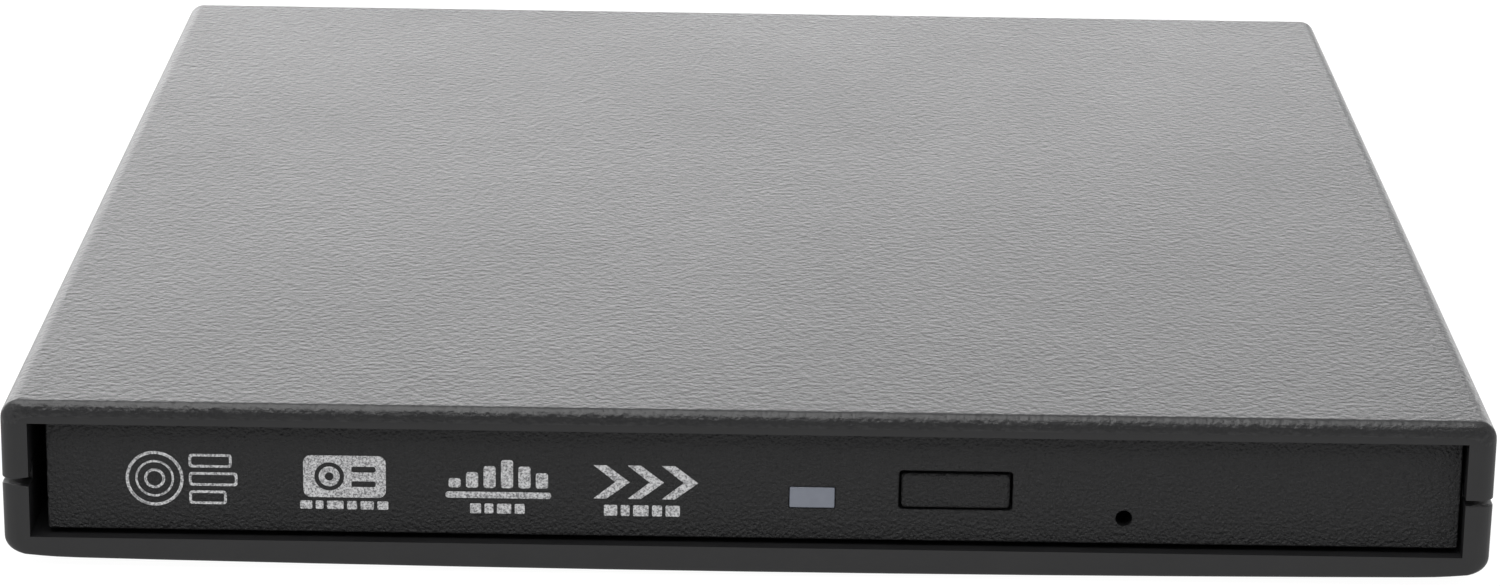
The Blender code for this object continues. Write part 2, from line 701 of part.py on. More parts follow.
def make_latch_lever(lever_frame):
    lever = block("latch_lever", (-1.5, -12.5, 6.0), (0.9, 2.0, 7.2), lever_frame, corner=0.6)
    join(lever, rod("lever eye", (0, 0, 6.0), (0, 0, 7.2), 2.2, lever_frame, ROUND_SIDES))
    join(lever, block("hook", (-1.5, -12.5, 6.0), (1.7, -10.5, 7.2), lever_frame))
    cut(lever, rod("eye bore", (0, 0, 5), (0, 0, 8), 1.3, lever_frame))
    paint(lever, WHITE_NYLON)


def make_solenoid_plunger(tray_frame):
    plunger = block("solenoid_plunger", (35.4, -54.8, 6.2), (45.0, -53.2, 7.2), tray_frame)
    paint(plunger, BRIGHT_STEEL)


def make_eject_button(button_frame):
    left, right, bottom, top = BUTTON
    button = block("eject_button", (left, BEZEL_FRONT, bottom), (right, -71.0, top), button_frame)
    join(button, block("button stem", (17.4, -71.5, 6.8), (20.2, -68.6, 8.2), button_frame))
    paint(button, BEZEL_PLASTIC)


def main():
    make_bottom_cover()
    make_top_cover()
    make_feet()
    make_screw("case_screw_left", -CASE_SCREW_PLACE[0], CASE_SCREW_PLACE[1], 1.05, 6.5)
    make_screw("case_screw_right", CASE_SCREW_PLACE[0], CASE_SCREW_PLACE[1], 1.05, 6.5)
    make_bridge_board()
    make_sata_socket()
    make_usb_socket()
    make_power_jack()
    make_drive_bracket()
    make_drive_case()
    make_drive_lid()
    for word, side in (("left", -1), ("right", 1)):
        make_rail_guide(f"rail_guide_{word}", side)
        make_slide_rail(f"slide_rail_{word}", side)
    make_drive_board()
    make_latch_post()
    make_ribbon_cable()
    tray_frame = frame("tray_frame")
    traverse = frame("traverse", (*SPINDLE, 0.0), TRAVERSE_TURN, tray_frame)
    spindle_frame = frame("spindle_frame", parent=traverse)
    sled_frame = frame("sled_frame", parent=traverse)
    lens_frame = frame("lens_frame", (LENS_U, 0.0, 0.0), parent=sled_frame)
    screw_frame = frame("screw_frame", (0.0, LEAD_SCREW_V, ROD_HEIGHT), parent=traverse)
    lever_frame = frame("lever_frame", (*LATCH_PIVOT, 0.0), parent=tray_frame)
    button_frame = frame("button_frame", parent=tray_frame)
    make_tray(tray_frame, traverse)
    make_tray_base_plate(tray_frame)
    make_bezel(tray_frame)
    make_led(tray_frame)
    make_tray_board(tray_frame)
    make_solenoid(tray_frame)
    make_eject_spring(tray_frame)
    make_traverse_cover(traverse)
    make_traverse_frame(traverse)
    make_guide_rods(traverse)
    make_feed_motor(traverse)
    make_spindle(traverse, spindle_frame)
    make_pickup_sled(sled_frame)
    make_lens(lens_frame)
    make_lead_screw(screw_frame)
    make_latch_lever(lever_frame)
    make_solenoid_plunger(tray_frame)
    make_eject_button(button_frame)


main()
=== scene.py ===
"""The looks of the slim external optical drive: camera, light, fine meshes and procedural materials.

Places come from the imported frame, in metres. Sizes given in millimetres are multiplied by MM.
"""

import json
import math

import bmesh
import bpy
from mathutils import Matrix, Vector


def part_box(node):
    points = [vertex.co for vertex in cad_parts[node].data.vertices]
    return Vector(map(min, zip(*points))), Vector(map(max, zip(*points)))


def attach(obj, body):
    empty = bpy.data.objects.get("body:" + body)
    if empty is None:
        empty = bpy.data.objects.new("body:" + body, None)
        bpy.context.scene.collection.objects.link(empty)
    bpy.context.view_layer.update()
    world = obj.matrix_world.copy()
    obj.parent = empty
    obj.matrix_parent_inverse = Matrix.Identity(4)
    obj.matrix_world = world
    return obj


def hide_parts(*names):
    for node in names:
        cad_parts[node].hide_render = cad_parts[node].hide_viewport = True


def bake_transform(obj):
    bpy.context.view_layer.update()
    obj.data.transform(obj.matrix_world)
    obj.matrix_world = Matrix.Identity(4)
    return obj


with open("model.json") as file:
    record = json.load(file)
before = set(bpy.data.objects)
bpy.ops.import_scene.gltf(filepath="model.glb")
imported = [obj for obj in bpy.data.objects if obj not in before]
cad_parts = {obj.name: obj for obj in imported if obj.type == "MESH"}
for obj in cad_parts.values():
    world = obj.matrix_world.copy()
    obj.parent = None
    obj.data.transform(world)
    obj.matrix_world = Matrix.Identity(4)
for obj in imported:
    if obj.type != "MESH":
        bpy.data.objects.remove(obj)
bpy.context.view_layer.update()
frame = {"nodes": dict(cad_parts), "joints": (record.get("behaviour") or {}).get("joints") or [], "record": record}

MM = 0.001
SHARP = 0.01 * MM

# The frame's own places
CASE_LOW, CASE_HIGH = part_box("bottom_cover")[0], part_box("top_cover")[1]
BEZEL_LOW, BEZEL_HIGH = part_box("bezel")
BUTTON_LOW, BUTTON_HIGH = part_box("eject_button")
LED_LOW, LED_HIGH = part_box("led_window")
JOINTS = {joint["name"]: joint for joint in frame["joints"]}
FEET = ("foot_front_left", "foot_front_right", "foot_rear_left", "foot_rear_right")
CASE_SCREWS = ("case_screw_left", "case_screw_right")
BODY_OF = {node: body for body, nodes in frame["record"]["behaviour"]["bodies"].items() for node in nodes}
SPINDLE = Vector(JOINTS["spindle_spin"]["pos_m"]) * Vector((1, 1, 0))
PICKUP_RUN = Vector(JOINTS["sled_slide"]["axis"])
TRAVERSE_TURN = math.atan2(PICKUP_RUN.y, PICKUP_RUN.x)
TRAVERSE = Matrix.Translation(SPINDLE) @ Matrix.Rotation(TRAVERSE_TURN, 4, "Z")

# Case form. A reach is how far back a round runs, as a share of its height.
UPPER_DRAFT = 0.002
LOWER_DRAFT = 0.008
TOP_SIDE_ROUND = 1.75 * MM
TOP_END_ROUND = 1.75 * MM
TOP_FRONT_REACH = 0.54
TOP_BACK_REACH = 0.82
UPRIGHT_ROUND = 1.5 * MM
UPRIGHT_REACH = 0.7
BASE_ROUND = 0.3 * MM
BOTTOM_SIDE_ROUND = 1.5 * MM
CROWN_LOW = 0.55 * MM
CROWN_RADIUS = 4520 * MM
CROWN_END_WIDTH = 5.0 * MM
CROWN_END_RISE = 0.25 * MM
OPENING_LOW = Vector((-64.99, 0, 2.93)) * MM
OPENING_HIGH = Vector((64.90, 0, 13.78)) * MM
BACK_WALL = 2.0 * MM
SPLIT_BOTTOM = 7.92 * MM
SPLIT_TOP = 8.45 * MM
SPLIT_ROUND = 0.13 * MM
SPLIT_WEDGE = 0.2 * MM
MOUTH_FLARE = 0.12 * MM
PORT_ROOM = Vector((0.4, 0, 0.4)) * MM
LIP_LOW = Vector((-66, -72.5, 2)) * MM
LIP_HIGH = Vector((66 * MM, 74 * MM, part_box("bottom_cover")[1].z))
LIP_FIT = Vector((0.3, 0.3, 0.3)) * MM
FOOT_ROOM = 0.25 * MM
FOOT_POCKET_ROOF = 1.65 * MM
SCREW_POCKET_RADIUS = 2.6 * MM
SCREW_POCKET_ROOF = 2.4 * MM
LEATHER_SKIN = Vector((0.7, 0.7, 0.7)) * MM

# Each round of the case's ends, as (height, steps, reach)
END_ROUNDS = (
    (TOP_END_ROUND, 12, TOP_FRONT_REACH),
    (UPRIGHT_ROUND, 8, UPRIGHT_REACH),
    (BASE_ROUND, 3, 1),
)

# How far a face's normal leans to -Y on the front face and beside the opening, and to -Z on the base
FACES_FRONT, LEANS_FRONT, LEANS_DOWN = -0.995, -0.3, -0.1

# Camera
CAMERA_PLACE = Vector((-1.03, -476.06, 152.44)) * MM
CAMERA_DOWN = math.radians(17.352)
CAMERA_PAN = math.radians(0.134)
CAMERA_ROLL = math.radians(0.904)
CAMERA_LENS = 113.12
CAMERA_SENSOR = 36.0


# Mesh helpers


def new_piece(name, mesh):
    piece = bpy.data.objects.new(name, mesh)
    bpy.context.scene.collection.objects.link(piece)
    return piece


def piece_from(shape, name):
    mesh = bpy.data.meshes.new(name)
    bmesh.ops.recalc_face_normals(shape, faces=shape.faces)
    shape.to_mesh(mesh)
    shape.free()
    return new_piece(name, mesh)


def loft(name, rings):
    """A closed solid through rings of equally many points, capped at both ends."""
    shape = bmesh.new()
    loops = [[shape.verts.new(point) for point in ring] for ring in rings]
    for near, far in zip(loops, loops[1:]):
        for index in range(len(near)):
            shape.faces.new((near[index - 1], near[index], far[index], far[index - 1]))
    shape.faces.new(loops[0])
    shape.faces.new(reversed(loops[-1]))
    return piece_from(shape, name)


def block(name, low, high):
    shape = bmesh.new()
    bmesh.ops.create_cube(shape, size=1.0)
    for vert in shape.verts:
        vert.co = [low[axis] + (vert.co[axis] + 0.5) * (high[axis] - low[axis]) for axis in range(3)]
    return piece_from(shape, name)


def cylinder(name, start, end, radius, sides=48):
    start = Vector(start)
    run = Vector(end) - start
    shape = bmesh.new()
    bmesh.ops.create_cone(
        shape, cap_ends=True, segments=sides, radius1=radius, radius2=radius, depth=run.length
    )
    bmesh.ops.rotate(shape, verts=shape.verts, matrix=run.to_track_quat("Z", "Y").to_matrix())
    bmesh.ops.translate(shape, verts=shape.verts, vec=start + run / 2)
    return piece_from(shape, name)


def rounded_rectangle(low, high, radius, steps=6):
    """Points round a rectangle with rounded corners, as (across, up)."""
    points = []
    for quarter, (right, up) in enumerate(((1, 1), (0, 1), (0, 0), (1, 0))):
        centre_x = (high[0] - radius) if right else (low[0] + radius)
        centre_y = (high[1] - radius) if up else (low[1] + radius)
        for step in range(steps + 1):
            angle = (quarter + step / steps) * math.pi / 2
            points.append((centre_x + radius * math.cos(angle), centre_y + radius * math.sin(angle)))
    return points


def fillet_inset(depth, radius):
    """How far a rounded edge of this radius has drawn back at a depth below the face."""
    if depth >= radius:
        return 0.0
    return radius - math.sqrt(radius**2 - (radius - depth) ** 2)


def fillet_depths(radius, steps):
    return [radius * (1 - math.cos(step / steps * math.pi / 2)) for step in range(steps + 1)]


def front_panel(name, low, high, corner, edge, steps=4):
    """A plate facing -Y with rounded corners and a rounded front edge."""
    rings = []
    for depth in fillet_depths(edge, steps) + [high.y - low.y]:
        inset = fillet_inset(depth, edge)
        outline = rounded_rectangle(
            (low.x + inset, low.z + inset), (high.x - inset, high.z - inset), max(corner - inset, corner / 3)
        )
        rings.append([(x, low.y + depth, z) for x, z in outline])
    return loft(name, rings)


def plate(name, low, high, corner, edge, steps=4):
    """A plate facing up with rounded corners and a rounded top edge."""
    rings = []
    for depth in fillet_depths(edge, steps) + [high.z - low.z]:
        inset = fillet_inset(depth, edge)
        outline = rounded_rectangle(
            (low.x + inset, low.y + inset), (high.x - inset, high.y - inset), max(corner - inset, corner / 3)
        )
        rings.append([(x, y, high.z - depth) for x, y in outline])
    return loft(name, rings)


def turned(name, profile, place, sides=64):
    """A solid of (radius, height) points, from its top down its outer side, turned about Z at a place."""
    shape = bmesh.new()
    verts = [shape.verts.new((radius, 0.0, height)) for radius, height in profile]
    edges = [shape.edges.new(pair) for pair in zip(verts, verts[1:])]
    bmesh.ops.spin(
        shape, geom=verts + edges, cent=(0, 0, 0), axis=(0, 0, 1), angle=math.tau, steps=sides, use_merge=True
    )
    bmesh.ops.remove_doubles(shape, verts=shape.verts, dist=1e-7)
    bmesh.ops.translate(shape, verts=shape.verts, vec=place)
    return piece_from(shape, name)


def mm_profile(*points):
    return [(radius * MM, height * MM) for radius, height in points]


def mm_vectors(*points):
    return [Vector(point) * MM for point in points]


def on_traverse(piece, turn=0.0):
    """Turns a mesh built along u, v and Z onto the pickup's run."""
    piece.data.transform(TRAVERSE @ Matrix.Rotation(turn, 4, "Z"))
    return piece


def bake(piece):
    """Applies the piece's modifiers."""
    bpy.context.view_layer.update()
    graph = bpy.context.evaluated_depsgraph_get()
    mesh = bpy.data.meshes.new_from_object(piece.evaluated_get(graph))
    piece.modifiers.clear()
    piece.data = mesh


def carve(piece, *tools, operation="DIFFERENCE"):
    for tool in tools:
        step = piece.modifiers.new(tool.name, "BOOLEAN")
        step.operation = operation
        step.object = tool
    bake(piece)
    for tool in tools:
        bpy.data.objects.remove(tool)


def smooth(piece, angle=40):
    """Smooth shading that keeps sharp edges and leaves the large faces flat."""
    piece.data.shade_smooth()
    piece.data.set_sharp_from_angle(angle=math.radians(angle))
    normals = piece.modifiers.new("normals", "WEIGHTED_NORMAL")
    normals.keep_sharp = True
    normals.weight = 100
    bake(piece)


def soften(piece, width, segments=2, angle=40):
    """Breaks the sharp edges."""
    bevel = piece.modifiers.new("edges", "BEVEL")
    bevel.width = width
    bevel.segments = segments
    bevel.limit_method = "ANGLE"
    bevel.angle_limit = math.radians(angle)
    bake(piece)
    smooth(piece)


def settle(piece, body, slot, *nodes):
    """The piece rides on its body and stands for the CAD nodes that it refines, which it hides. The slot is not
    used.
    """
    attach(piece, body)
    if nodes:
        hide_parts(*nodes)


# Materials


class Look:
    """A Principled material with short ways to add its nodes. Lengths are in metres."""

    def __init__(self, name, colour, roughness, **sockets):
        self.material = bpy.data.materials.new(name)
        self.material.use_nodes = True
        self.tree = self.material.node_tree
        self.shader = self.tree.nodes["Principled BSDF"]
        self.shader.inputs["Base Color"].default_value = (*colour, 1.0)
        self.shader.inputs["Roughness"].default_value = roughness
        for label, value in sockets.items():
            self.shader.inputs[label.replace("_", " ")].default_value = value
        self.place = self.add("ShaderNodeTexCoord").outputs["Object"]

    def add(self, kind, links=(), **settings):
        node = self.tree.nodes.new(kind)
        for label, value in settings.items():
            setattr(node, label, value)
        for label, source in dict(links).items():
            if isinstance(source, bpy.types.NodeSocket):
                self.tree.links.new(source, node.inputs[label])
            else:
                node.inputs[label].default_value = source
        return node

    def stretched(self, scale):
        return self.add("ShaderNodeMapping", {"Vector": self.place, "Scale": scale}).outputs["Vector"]

    def noise(self, size, detail=3.0, roughness=0.55, place=None):
        links = {"Vector": place or self.place, "Scale": 1 / size, "Detail": detail, "Roughness": roughness}
        return self.add("ShaderNodeTexNoise", links).outputs["Fac"]

    def cells(self, size, place=None, feature="F1"):
        links = {"Vector": place or self.place, "Scale": 1 / size}
        return self.add("ShaderNodeTexVoronoi", links, feature=feature).outputs["Distance"]

    def spread(self, value, low, high, start=0.3, end=0.7):
        """Maps a texture value to a range."""
        links = {"Value": value, "From Min": start, "From Max": end, "To Min": low, "To Max": high}
        return self.add("ShaderNodeMapRange", links).outputs["Result"]

    def mix(self, value, dark, light):
        links = {0: value, "A": (*dark, 1.0), "B": (*light, 1.0)}
        return self.add("ShaderNodeMix", links, data_type="RGBA").outputs["Result"]

    def sum(self, first, second, share):
        """First plus share times second."""
        links = {0: second, 1: share, 2: first}
        return self.add("ShaderNodeMath", links, operation="MULTIPLY_ADD").outputs[0]

    def bump(self, height, depth, strength=1.0, after=None):
        links = {"Height": height, "Distance": depth, "Strength": strength}
        if after is not None:
            links["Normal"] = after
        return self.add("ShaderNodeBump", links).outputs["Normal"]

    def set(self, label, source):
        self.tree.links.new(source, self.shader.inputs[label])


def shade(colour, factor):
    return tuple(min(1.0, part * factor) for part in colour)


def moulded(name, colour, roughness, cell, depth, **sockets):
    """Moulded plastic with a pebbled grain: rounded cells broken up by finer noise, and faint flow marks."""
    look = Look(name, colour, roughness, **sockets)
    grain = look.sum(look.cells(cell, feature="SMOOTH_F1"), look.noise(cell / 2.2, 4.0), 0.8)
    flow = look.noise(0.03, 2.0)
    look.set("Normal", look.bump(grain, depth))
    look.set("Roughness", look.spread(flow, roughness - 0.012, roughness + 0.012))
    look.set("Base Color", look.mix(look.noise(cell, 5.0), shade(colour, 0.8), shade(colour, 1.25)))
    return look.material


def satin_plastic(name, colour, roughness, depth=0.004 * MM, **sockets):
    """Smooth moulded plastic: faint ripple, fine specks and uneven gloss."""
    look = Look(name, colour, roughness, **sockets)
    fine = look.noise(0.12 * MM, 4.0)
    look.set("Normal", look.bump(fine, depth))
    look.set("Roughness", look.spread(look.noise(4 * MM, 3.0), roughness - 0.05, roughness + 0.05))
    look.set("Base Color", look.mix(look.noise(0.4 * MM, 6.0), shade(colour, 0.85), shade(colour, 1.2)))
    return look.material


def rolled_metal(name, colour, roughness, along=(1.0, 30.0, 30.0)):
    """Rolled or drawn metal: fine lines along its run, stains and a few brighter scuffs."""
    look = Look(name, colour, roughness, Metallic=1.0)
    lines = look.noise(3 * MM, 5.0, 0.6, look.stretched(along))
    stains = look.noise(9 * MM, 4.0)
    look.set("Normal", look.bump(lines, 0.004 * MM, 0.6))
    wear = look.sum(lines, stains, 0.5)
    look.set("Roughness", look.spread(wear, roughness - 0.08, roughness + 0.1, 0.4, 1.1))
    look.set("Base Color", look.mix(stains, shade(colour, 0.82), shade(colour, 1.08)))
    return look.material


def circuit_board(name):
    """Solder mask over a grid of tracks."""
    look = Look(name, (0.012, 0.09, 0.035), 0.35, Coat_Weight=0.4)
    mask = {"Color1": (0.012, 0.1, 0.04, 1), "Color2": (0.009, 0.07, 0.03, 1)}
    grid = {"Vector": look.place, "Scale": 160.0, "Mortar Size": 0.03, "Mortar": (0.03, 0.2, 0.08, 1)}
    tracks = look.add("ShaderNodeTexBrick", mask | grid)
    look.set("Base Color", tracks.outputs["Color"])
    look.set("Normal", look.bump(tracks.outputs["Fac"], 0.02 * MM))
    return look.material


def winding(name):
    """Enamelled copper wire wound round X, with painted shade darkening the grooves between its turns."""
    look = Look(name, (0.5, 0.16, 0.05), 0.3, Metallic=0.9)
    links = {"Vector": look.place, "Scale": 800.0, "Distortion": 0.4, "Detail": 1.0}
    turns_with_groove_shade = look.add("ShaderNodeTexWave", links).outputs["Fac"]
    look.set("Normal", look.bump(turns_with_groove_shade, 0.08 * MM))
    # Painted shade: the colour follows the same waves as the bump and goes dark in the grooves between the turns
    look.set("Base Color", look.mix(turns_with_groove_shade, (0.3, 0.08, 0.02), (0.65, 0.25, 0.09)))
    return look.material


def film(name):
    """Polyimide film with its conductors showing through as stripes along Y."""
    look = Look(name, (0.45, 0.18, 0.03), 0.3, Coat_Weight=0.5)
    links = {"Vector": look.place, "Scale": 1600.0, "Detail": 0.0}
    stripes = look.add("ShaderNodeTexWave", links).outputs["Fac"]
    look.set("Base Color", look.mix(stripes, (0.28, 0.09, 0.015), (0.55, 0.26, 0.06)))
    look.set("Normal", look.bump(stripes, 0.01 * MM))
    return look.material


def coated_glass(name):
    """Lens glass under a coating that tints it violet."""
    look = Look(name, (0.55, 0.6, 0.85), 0.04, IOR=1.6, Transmission_Weight=0.35, Coat_Weight=1.0)
    tint = look.noise(1.5 * MM, 1.0)
    look.set("Base Color", look.mix(tint, (0.3, 0.32, 0.75), (0.6, 0.42, 0.75)))
    return look.material


def window_plastic(name):
    """Smoke grey diffusing plastic, a little cloudy."""
    look = Look(name, (0.2, 0.215, 0.25), 0.28, Coat_Weight=0.35, Coat_Roughness=0.12)
    cloud = look.noise(0.9 * MM, 3.0)
    look.set("Base Color", look.mix(cloud, (0.104, 0.116, 0.145), (0.144, 0.156, 0.188)))
    look.set("Normal", look.bump(look.noise(0.3 * MM, 3.0), 0.004 * MM))
    return look.material


def ink(name):
    """Screen printed ink on a grained panel: thin places let the dark plastic show."""
    look = Look(name, (0.36, 0.37, 0.38), 0.6)
    gaps = look.spread(look.noise(0.17 * MM, 3.0, 0.7), 0.0, 1.0, 0.38, 0.6)
    look.set("Base Color", look.mix(gaps, (0.1, 0.1, 0.104), (0.54, 0.54, 0.545)))
    look.set("Normal", look.bump(look.noise(0.2 * MM, 3.0), 0.01 * MM))
    return look.material


CASE_BLACK = (0.0095, 0.0095, 0.01)
BEZEL_BLACK = (0.0075, 0.0075, 0.008)

LEATHER = moulded("case_leather_grain", CASE_BLACK, 0.34, 0.6 * MM, 0.075 * MM, Specular_IOR_Level=0.435)
SATIN = satin_plastic("case_satin", CASE_BLACK, 0.45, 0.012 * MM, Specular_IOR_Level=0.37)
BEZEL_GRAIN = moulded("bezel_grain", BEZEL_BLACK, 0.42, 0.3 * MM, 0.24 * MM, Specular_IOR_Level=0.335)
BUTTON_GRAIN = moulded("button_grain", BEZEL_BLACK, 0.4, 0.26 * MM, 0.42 * MM, Specular_IOR_Level=0.41)
WINDOW = window_plastic("status_window")
PRINT = ink("printed_ink")
RUBBER = moulded("foot_rubber", (0.016, 0.016, 0.016), 0.8, 0.3 * MM, 0.02 * MM, Specular_IOR_Level=0.3)
TRAY_SATIN = moulded("tray_grain", (0.016, 0.016, 0.017), 0.45, 0.35 * MM, 0.03 * MM)
CHIP = satin_plastic("moulded_epoxy", (0.012, 0.012, 0.012), 0.5, 0.008 * MM)
NYLON = satin_plastic("natural_nylon", (0.62, 0.6, 0.54), 0.45)
SHEET = rolled_metal("plated_sheet", (0.34, 0.345, 0.35), 0.36)
BRIGHT = rolled_metal("bright_plating", (0.5, 0.5, 0.505), 0.2, (30.0, 1.0, 30.0))
GOLD = rolled_metal("gold_plating", (0.83, 0.6, 0.25), 0.22)
BOARD = circuit_board("circuit_board")
COIL = winding("copper_winding")
FLEX = film("flat_cable_film")
LENS = coated_glass("coated_lens")

SLOT_LOOKS = {
    "case_plastic": SATIN,
    "bezel_plastic": BEZEL_GRAIN,
    "button_plastic": BUTTON_GRAIN,
    "led_plastic": WINDOW,
    "foot_rubber": RUBBER,
    "sheet_steel": SHEET,
    "bright_steel": BRIGHT,
    "board": BOARD,
    "chip": CHIP,
    "tray_plastic": TRAY_SATIN,
    "nylon": NYLON,
    "lens_glass": LENS,
    "flex": FLEX,
    "copper_coil": COIL,
}


def finish_cad_nodes():
    """Every node that stays takes its slot's procedural material."""
    for entry in frame["record"]["subparts"]:
        node = frame["nodes"][entry["node"]]
        node.data.materials.clear()
        node.data.materials.append(SLOT_LOOKS[entry["material_slot"]])


# Case


def arc(centre_x, centre_z, radius, start, end, steps=8):
    """Points (x, z) along an arc between two angles in degrees, from +X towards +Z."""
    angles = [math.radians(start + (end - start) * step / steps) for step in range(steps + 1)]
    return [(centre_x + radius * math.cos(angle), centre_z + radius * math.sin(angle)) for angle in angles]


def drafted(points, slope):
    """Draws the sides in below the highest point, by this share of the drop."""
    top = max(z for x, z in points)
    return [(x - slope * (top - z), z) for x, z in points]


def upper_outline(side_inset, end_depth):
    """The top half's right section from the split to the roof, at this depth from the case's end."""
    width = CASE_HIGH.x - side_inset
    roof = CASE_HIGH.z - fillet_inset(end_depth, TOP_END_ROUND)
    split = SPLIT_TOP + fillet_inset(end_depth, SPLIT_ROUND)
    edge = arc(width - SPLIT_ROUND, split + SPLIT_ROUND, SPLIT_ROUND, -90, 0, 4)
    corner = arc(width - TOP_SIDE_ROUND, roof - TOP_SIDE_ROUND, TOP_SIDE_ROUND, 0, 90)
    return drafted([(OPENING_HIGH.x, split), *edge, *corner], UPPER_DRAFT)


def crown(x):
    """Height of the slightly bowed base."""
    end = max(0.0, x - (CASE_HIGH.x - BOTTOM_SIDE_ROUND - CROWN_END_WIDTH)) / CROWN_END_WIDTH
    return CROWN_LOW + x**2 / (2 * CROWN_RADIUS) + CROWN_END_RISE * end**2


def lower_outline(side_inset, end_depth):
    """The bottom half's right section from the split to the middle of its bowed base."""
    width = CASE_HIGH.x - side_inset
    lift = fillet_inset(end_depth, BASE_ROUND)
    split = SPLIT_BOTTOM - fillet_inset(end_depth, SPLIT_ROUND)
    edge = arc(width - SPLIT_ROUND, split - SPLIT_ROUND, SPLIT_ROUND, 90, 0, 4)
    corner_x = width - BOTTOM_SIDE_ROUND
    corner = arc(corner_x, crown(corner_x) + lift + BOTTOM_SIDE_ROUND, BOTTOM_SIDE_ROUND, 0, -90)
    across = [share * corner_x for share in (0.98, 0.96, 0.93, 0.8, 0.6, 0.4, 0.2, 0.0)]
    base = [(x, crown(x) + lift) for x in across]
    return drafted([(OPENING_HIGH.x, split), *edge, *corner, *base], LOWER_DRAFT)


def case_half(name, outline, wedge):
    """One half of the case: its outline drawn in at both ends, its left split face tilted by the wedge."""
    depths = set()
    for radius, steps, reach in END_ROUNDS:
        depths |= {round(depth * reach, 5) for depth in fillet_depths(radius, steps)}
    depths = sorted(depths)
    front = [(CASE_LOW.y + depth, depth, depth / TOP_FRONT_REACH) for depth in depths]
    back = [(CASE_HIGH.y - depth, depth, depth / TOP_BACK_REACH) for depth in reversed(depths)]
    rings = []
    for y, depth, roof_depth in front + back:
        right = outline(fillet_inset(depth / UPRIGHT_REACH, UPRIGHT_ROUND), roof_depth)
        left = [(-x, z) for x, z in reversed(right[1:]) if x > 0] + [(-right[0][0], right[0][1] + wedge)]
        rings.append([(x, y, z) for x, z in right + left])
    return loft(name, rings)


def tunnel(name, low, high, flare):
    """A cutter along Y whose far mouth is flared by a chamfer."""
    rings = []
    for y, out in ((low.y, 0.0), (high.y - flare, 0.0), (high.y, flare)):
        corners = ((low.x - out, low.z - out), (high.x + out, low.z - out))
        corners += ((high.x + out, high.z + out), (low.x - out, high.z + out))
        rings.append([(x, y, z) for x, z in corners])
    return loft(name, rings)


def case_inside():
    low = Vector((OPENING_LOW.x, CASE_LOW.y - MM, OPENING_LOW.z))
    high = Vector((OPENING_HIGH.x, CASE_HIGH.y - BACK_WALL, OPENING_HIGH.z))
    return block("case inside", low, high)


def port_tools():
    """Cutters a little wider than the two connectors, chamfered at the back face."""
    tools = []
    for node in ("usb_socket_shell", "power_jack"):
        low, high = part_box(node)
        far = Vector((high.x, CASE_HIGH.y + MOUTH_FLARE / 10, high.z)) + PORT_ROOM
        tools.append(tunnel(f"{node} opening", low - PORT_ROOM, far, 2 * MOUTH_FLARE))
    return tools


def paint_case(piece):
    """Leather grain outside and below; the front face and the inside are satin."""
    piece.data.materials.append(LEATHER)
    piece.data.materials.append(SATIN)
    inner = CASE_HIGH - LEATHER_SKIN
    for face in piece.data.polygons:
        place, normal = face.center, face.normal
        at_front = normal.y < FACES_FRONT or (normal.y < LEANS_FRONT and place.z < OPENING_HIGH.z)
        inside = abs(place.x) < inner.x and abs(place.y) < inner.y and place.z < inner.z
        below = normal.z < LEANS_DOWN and place.z < CROWN_LOW + 2 * MM
        face.material_index = 1 if at_front or (inside and not below) else 0


def make_top_cover():
    """The upper half, rebated to pass round the lower half's lip."""
    cover = case_half("top_cover_shell", upper_outline, SPLIT_WEDGE)
    rebate = block("lip rebate", LIP_LOW - LIP_FIT, LIP_HIGH + LIP_FIT)
    carve(cover, case_inside(), rebate, *port_tools())
    smooth(cover)
    paint_case(cover)
    settle(cover, "enclosure", "case_plastic", "top_cover")


def make_bottom_cover():
    """The lower half with its lip, and pockets for the feet and the screws."""
    cover = case_half("bottom_cover_shell", lower_outline, -SPLIT_WEDGE)
    carve(cover, block("lip", LIP_LOW, LIP_HIGH), operation="UNION")
    tools = [case_inside(), *port_tools()]
    for node in FEET:
        low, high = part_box(node)
        radius = (high.x - low.x) / 2 + FOOT_ROOM
        tools.append(pocket(f"{node} pocket", (low + high) / 2, radius, FOOT_POCKET_ROOF))
    for node in CASE_SCREWS:
        low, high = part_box(node)
        tools.append(pocket(f"{node} pocket", (low + high) / 2, SCREW_POCKET_RADIUS, SCREW_POCKET_ROOF))
    carve(cover, *tools)
    smooth(cover)
    paint_case(cover)
    settle(cover, "enclosure", "case_plastic", "bottom_cover")


def pocket(name, middle, radius, roof):
    """A round cutter from below with a chamfered mouth."""
    mouth = crown(abs(middle.x))
    profile = [(0.0, roof), (radius, roof), (radius, mouth + MOUTH_FLARE * 2)]
    profile += [(radius + MOUTH_FLARE * 3, mouth - MOUTH_FLARE), (0.0, mouth - MOUTH_FLARE)]
    return turned(name, profile, (middle.x, middle.y, 0.0))


# A foot's rim, as (inset from its radius, height), and the height of its dish, all in millimetres
FOOT_RIM = ((0.0, 0.3), (0.12, 0.08), (0.4, 0.0), (0.9, 0.0), (1.1, 0.12))
FOOT_DISH = 0.15


def make_feet():
    """Turned rubber pads with a shallow dish."""
    for node in FEET:
        low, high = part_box(node)
        middle = (low + high) / 2
        radius = (high.x - low.x) / 2
        rim = [(radius - inset * MM, height * MM) for inset, height in FOOT_RIM]
        profile = [(0.0, high.z), (radius, high.z), *rim, (0.0, FOOT_DISH * MM)]
        foot = turned(f"{node}_pad", profile, (middle.x, middle.y, 0.0))
        smooth(foot)
        foot.data.materials.append(RUBBER)
        settle(foot, "enclosure", "foot_rubber", node)


# Bezel and its controls

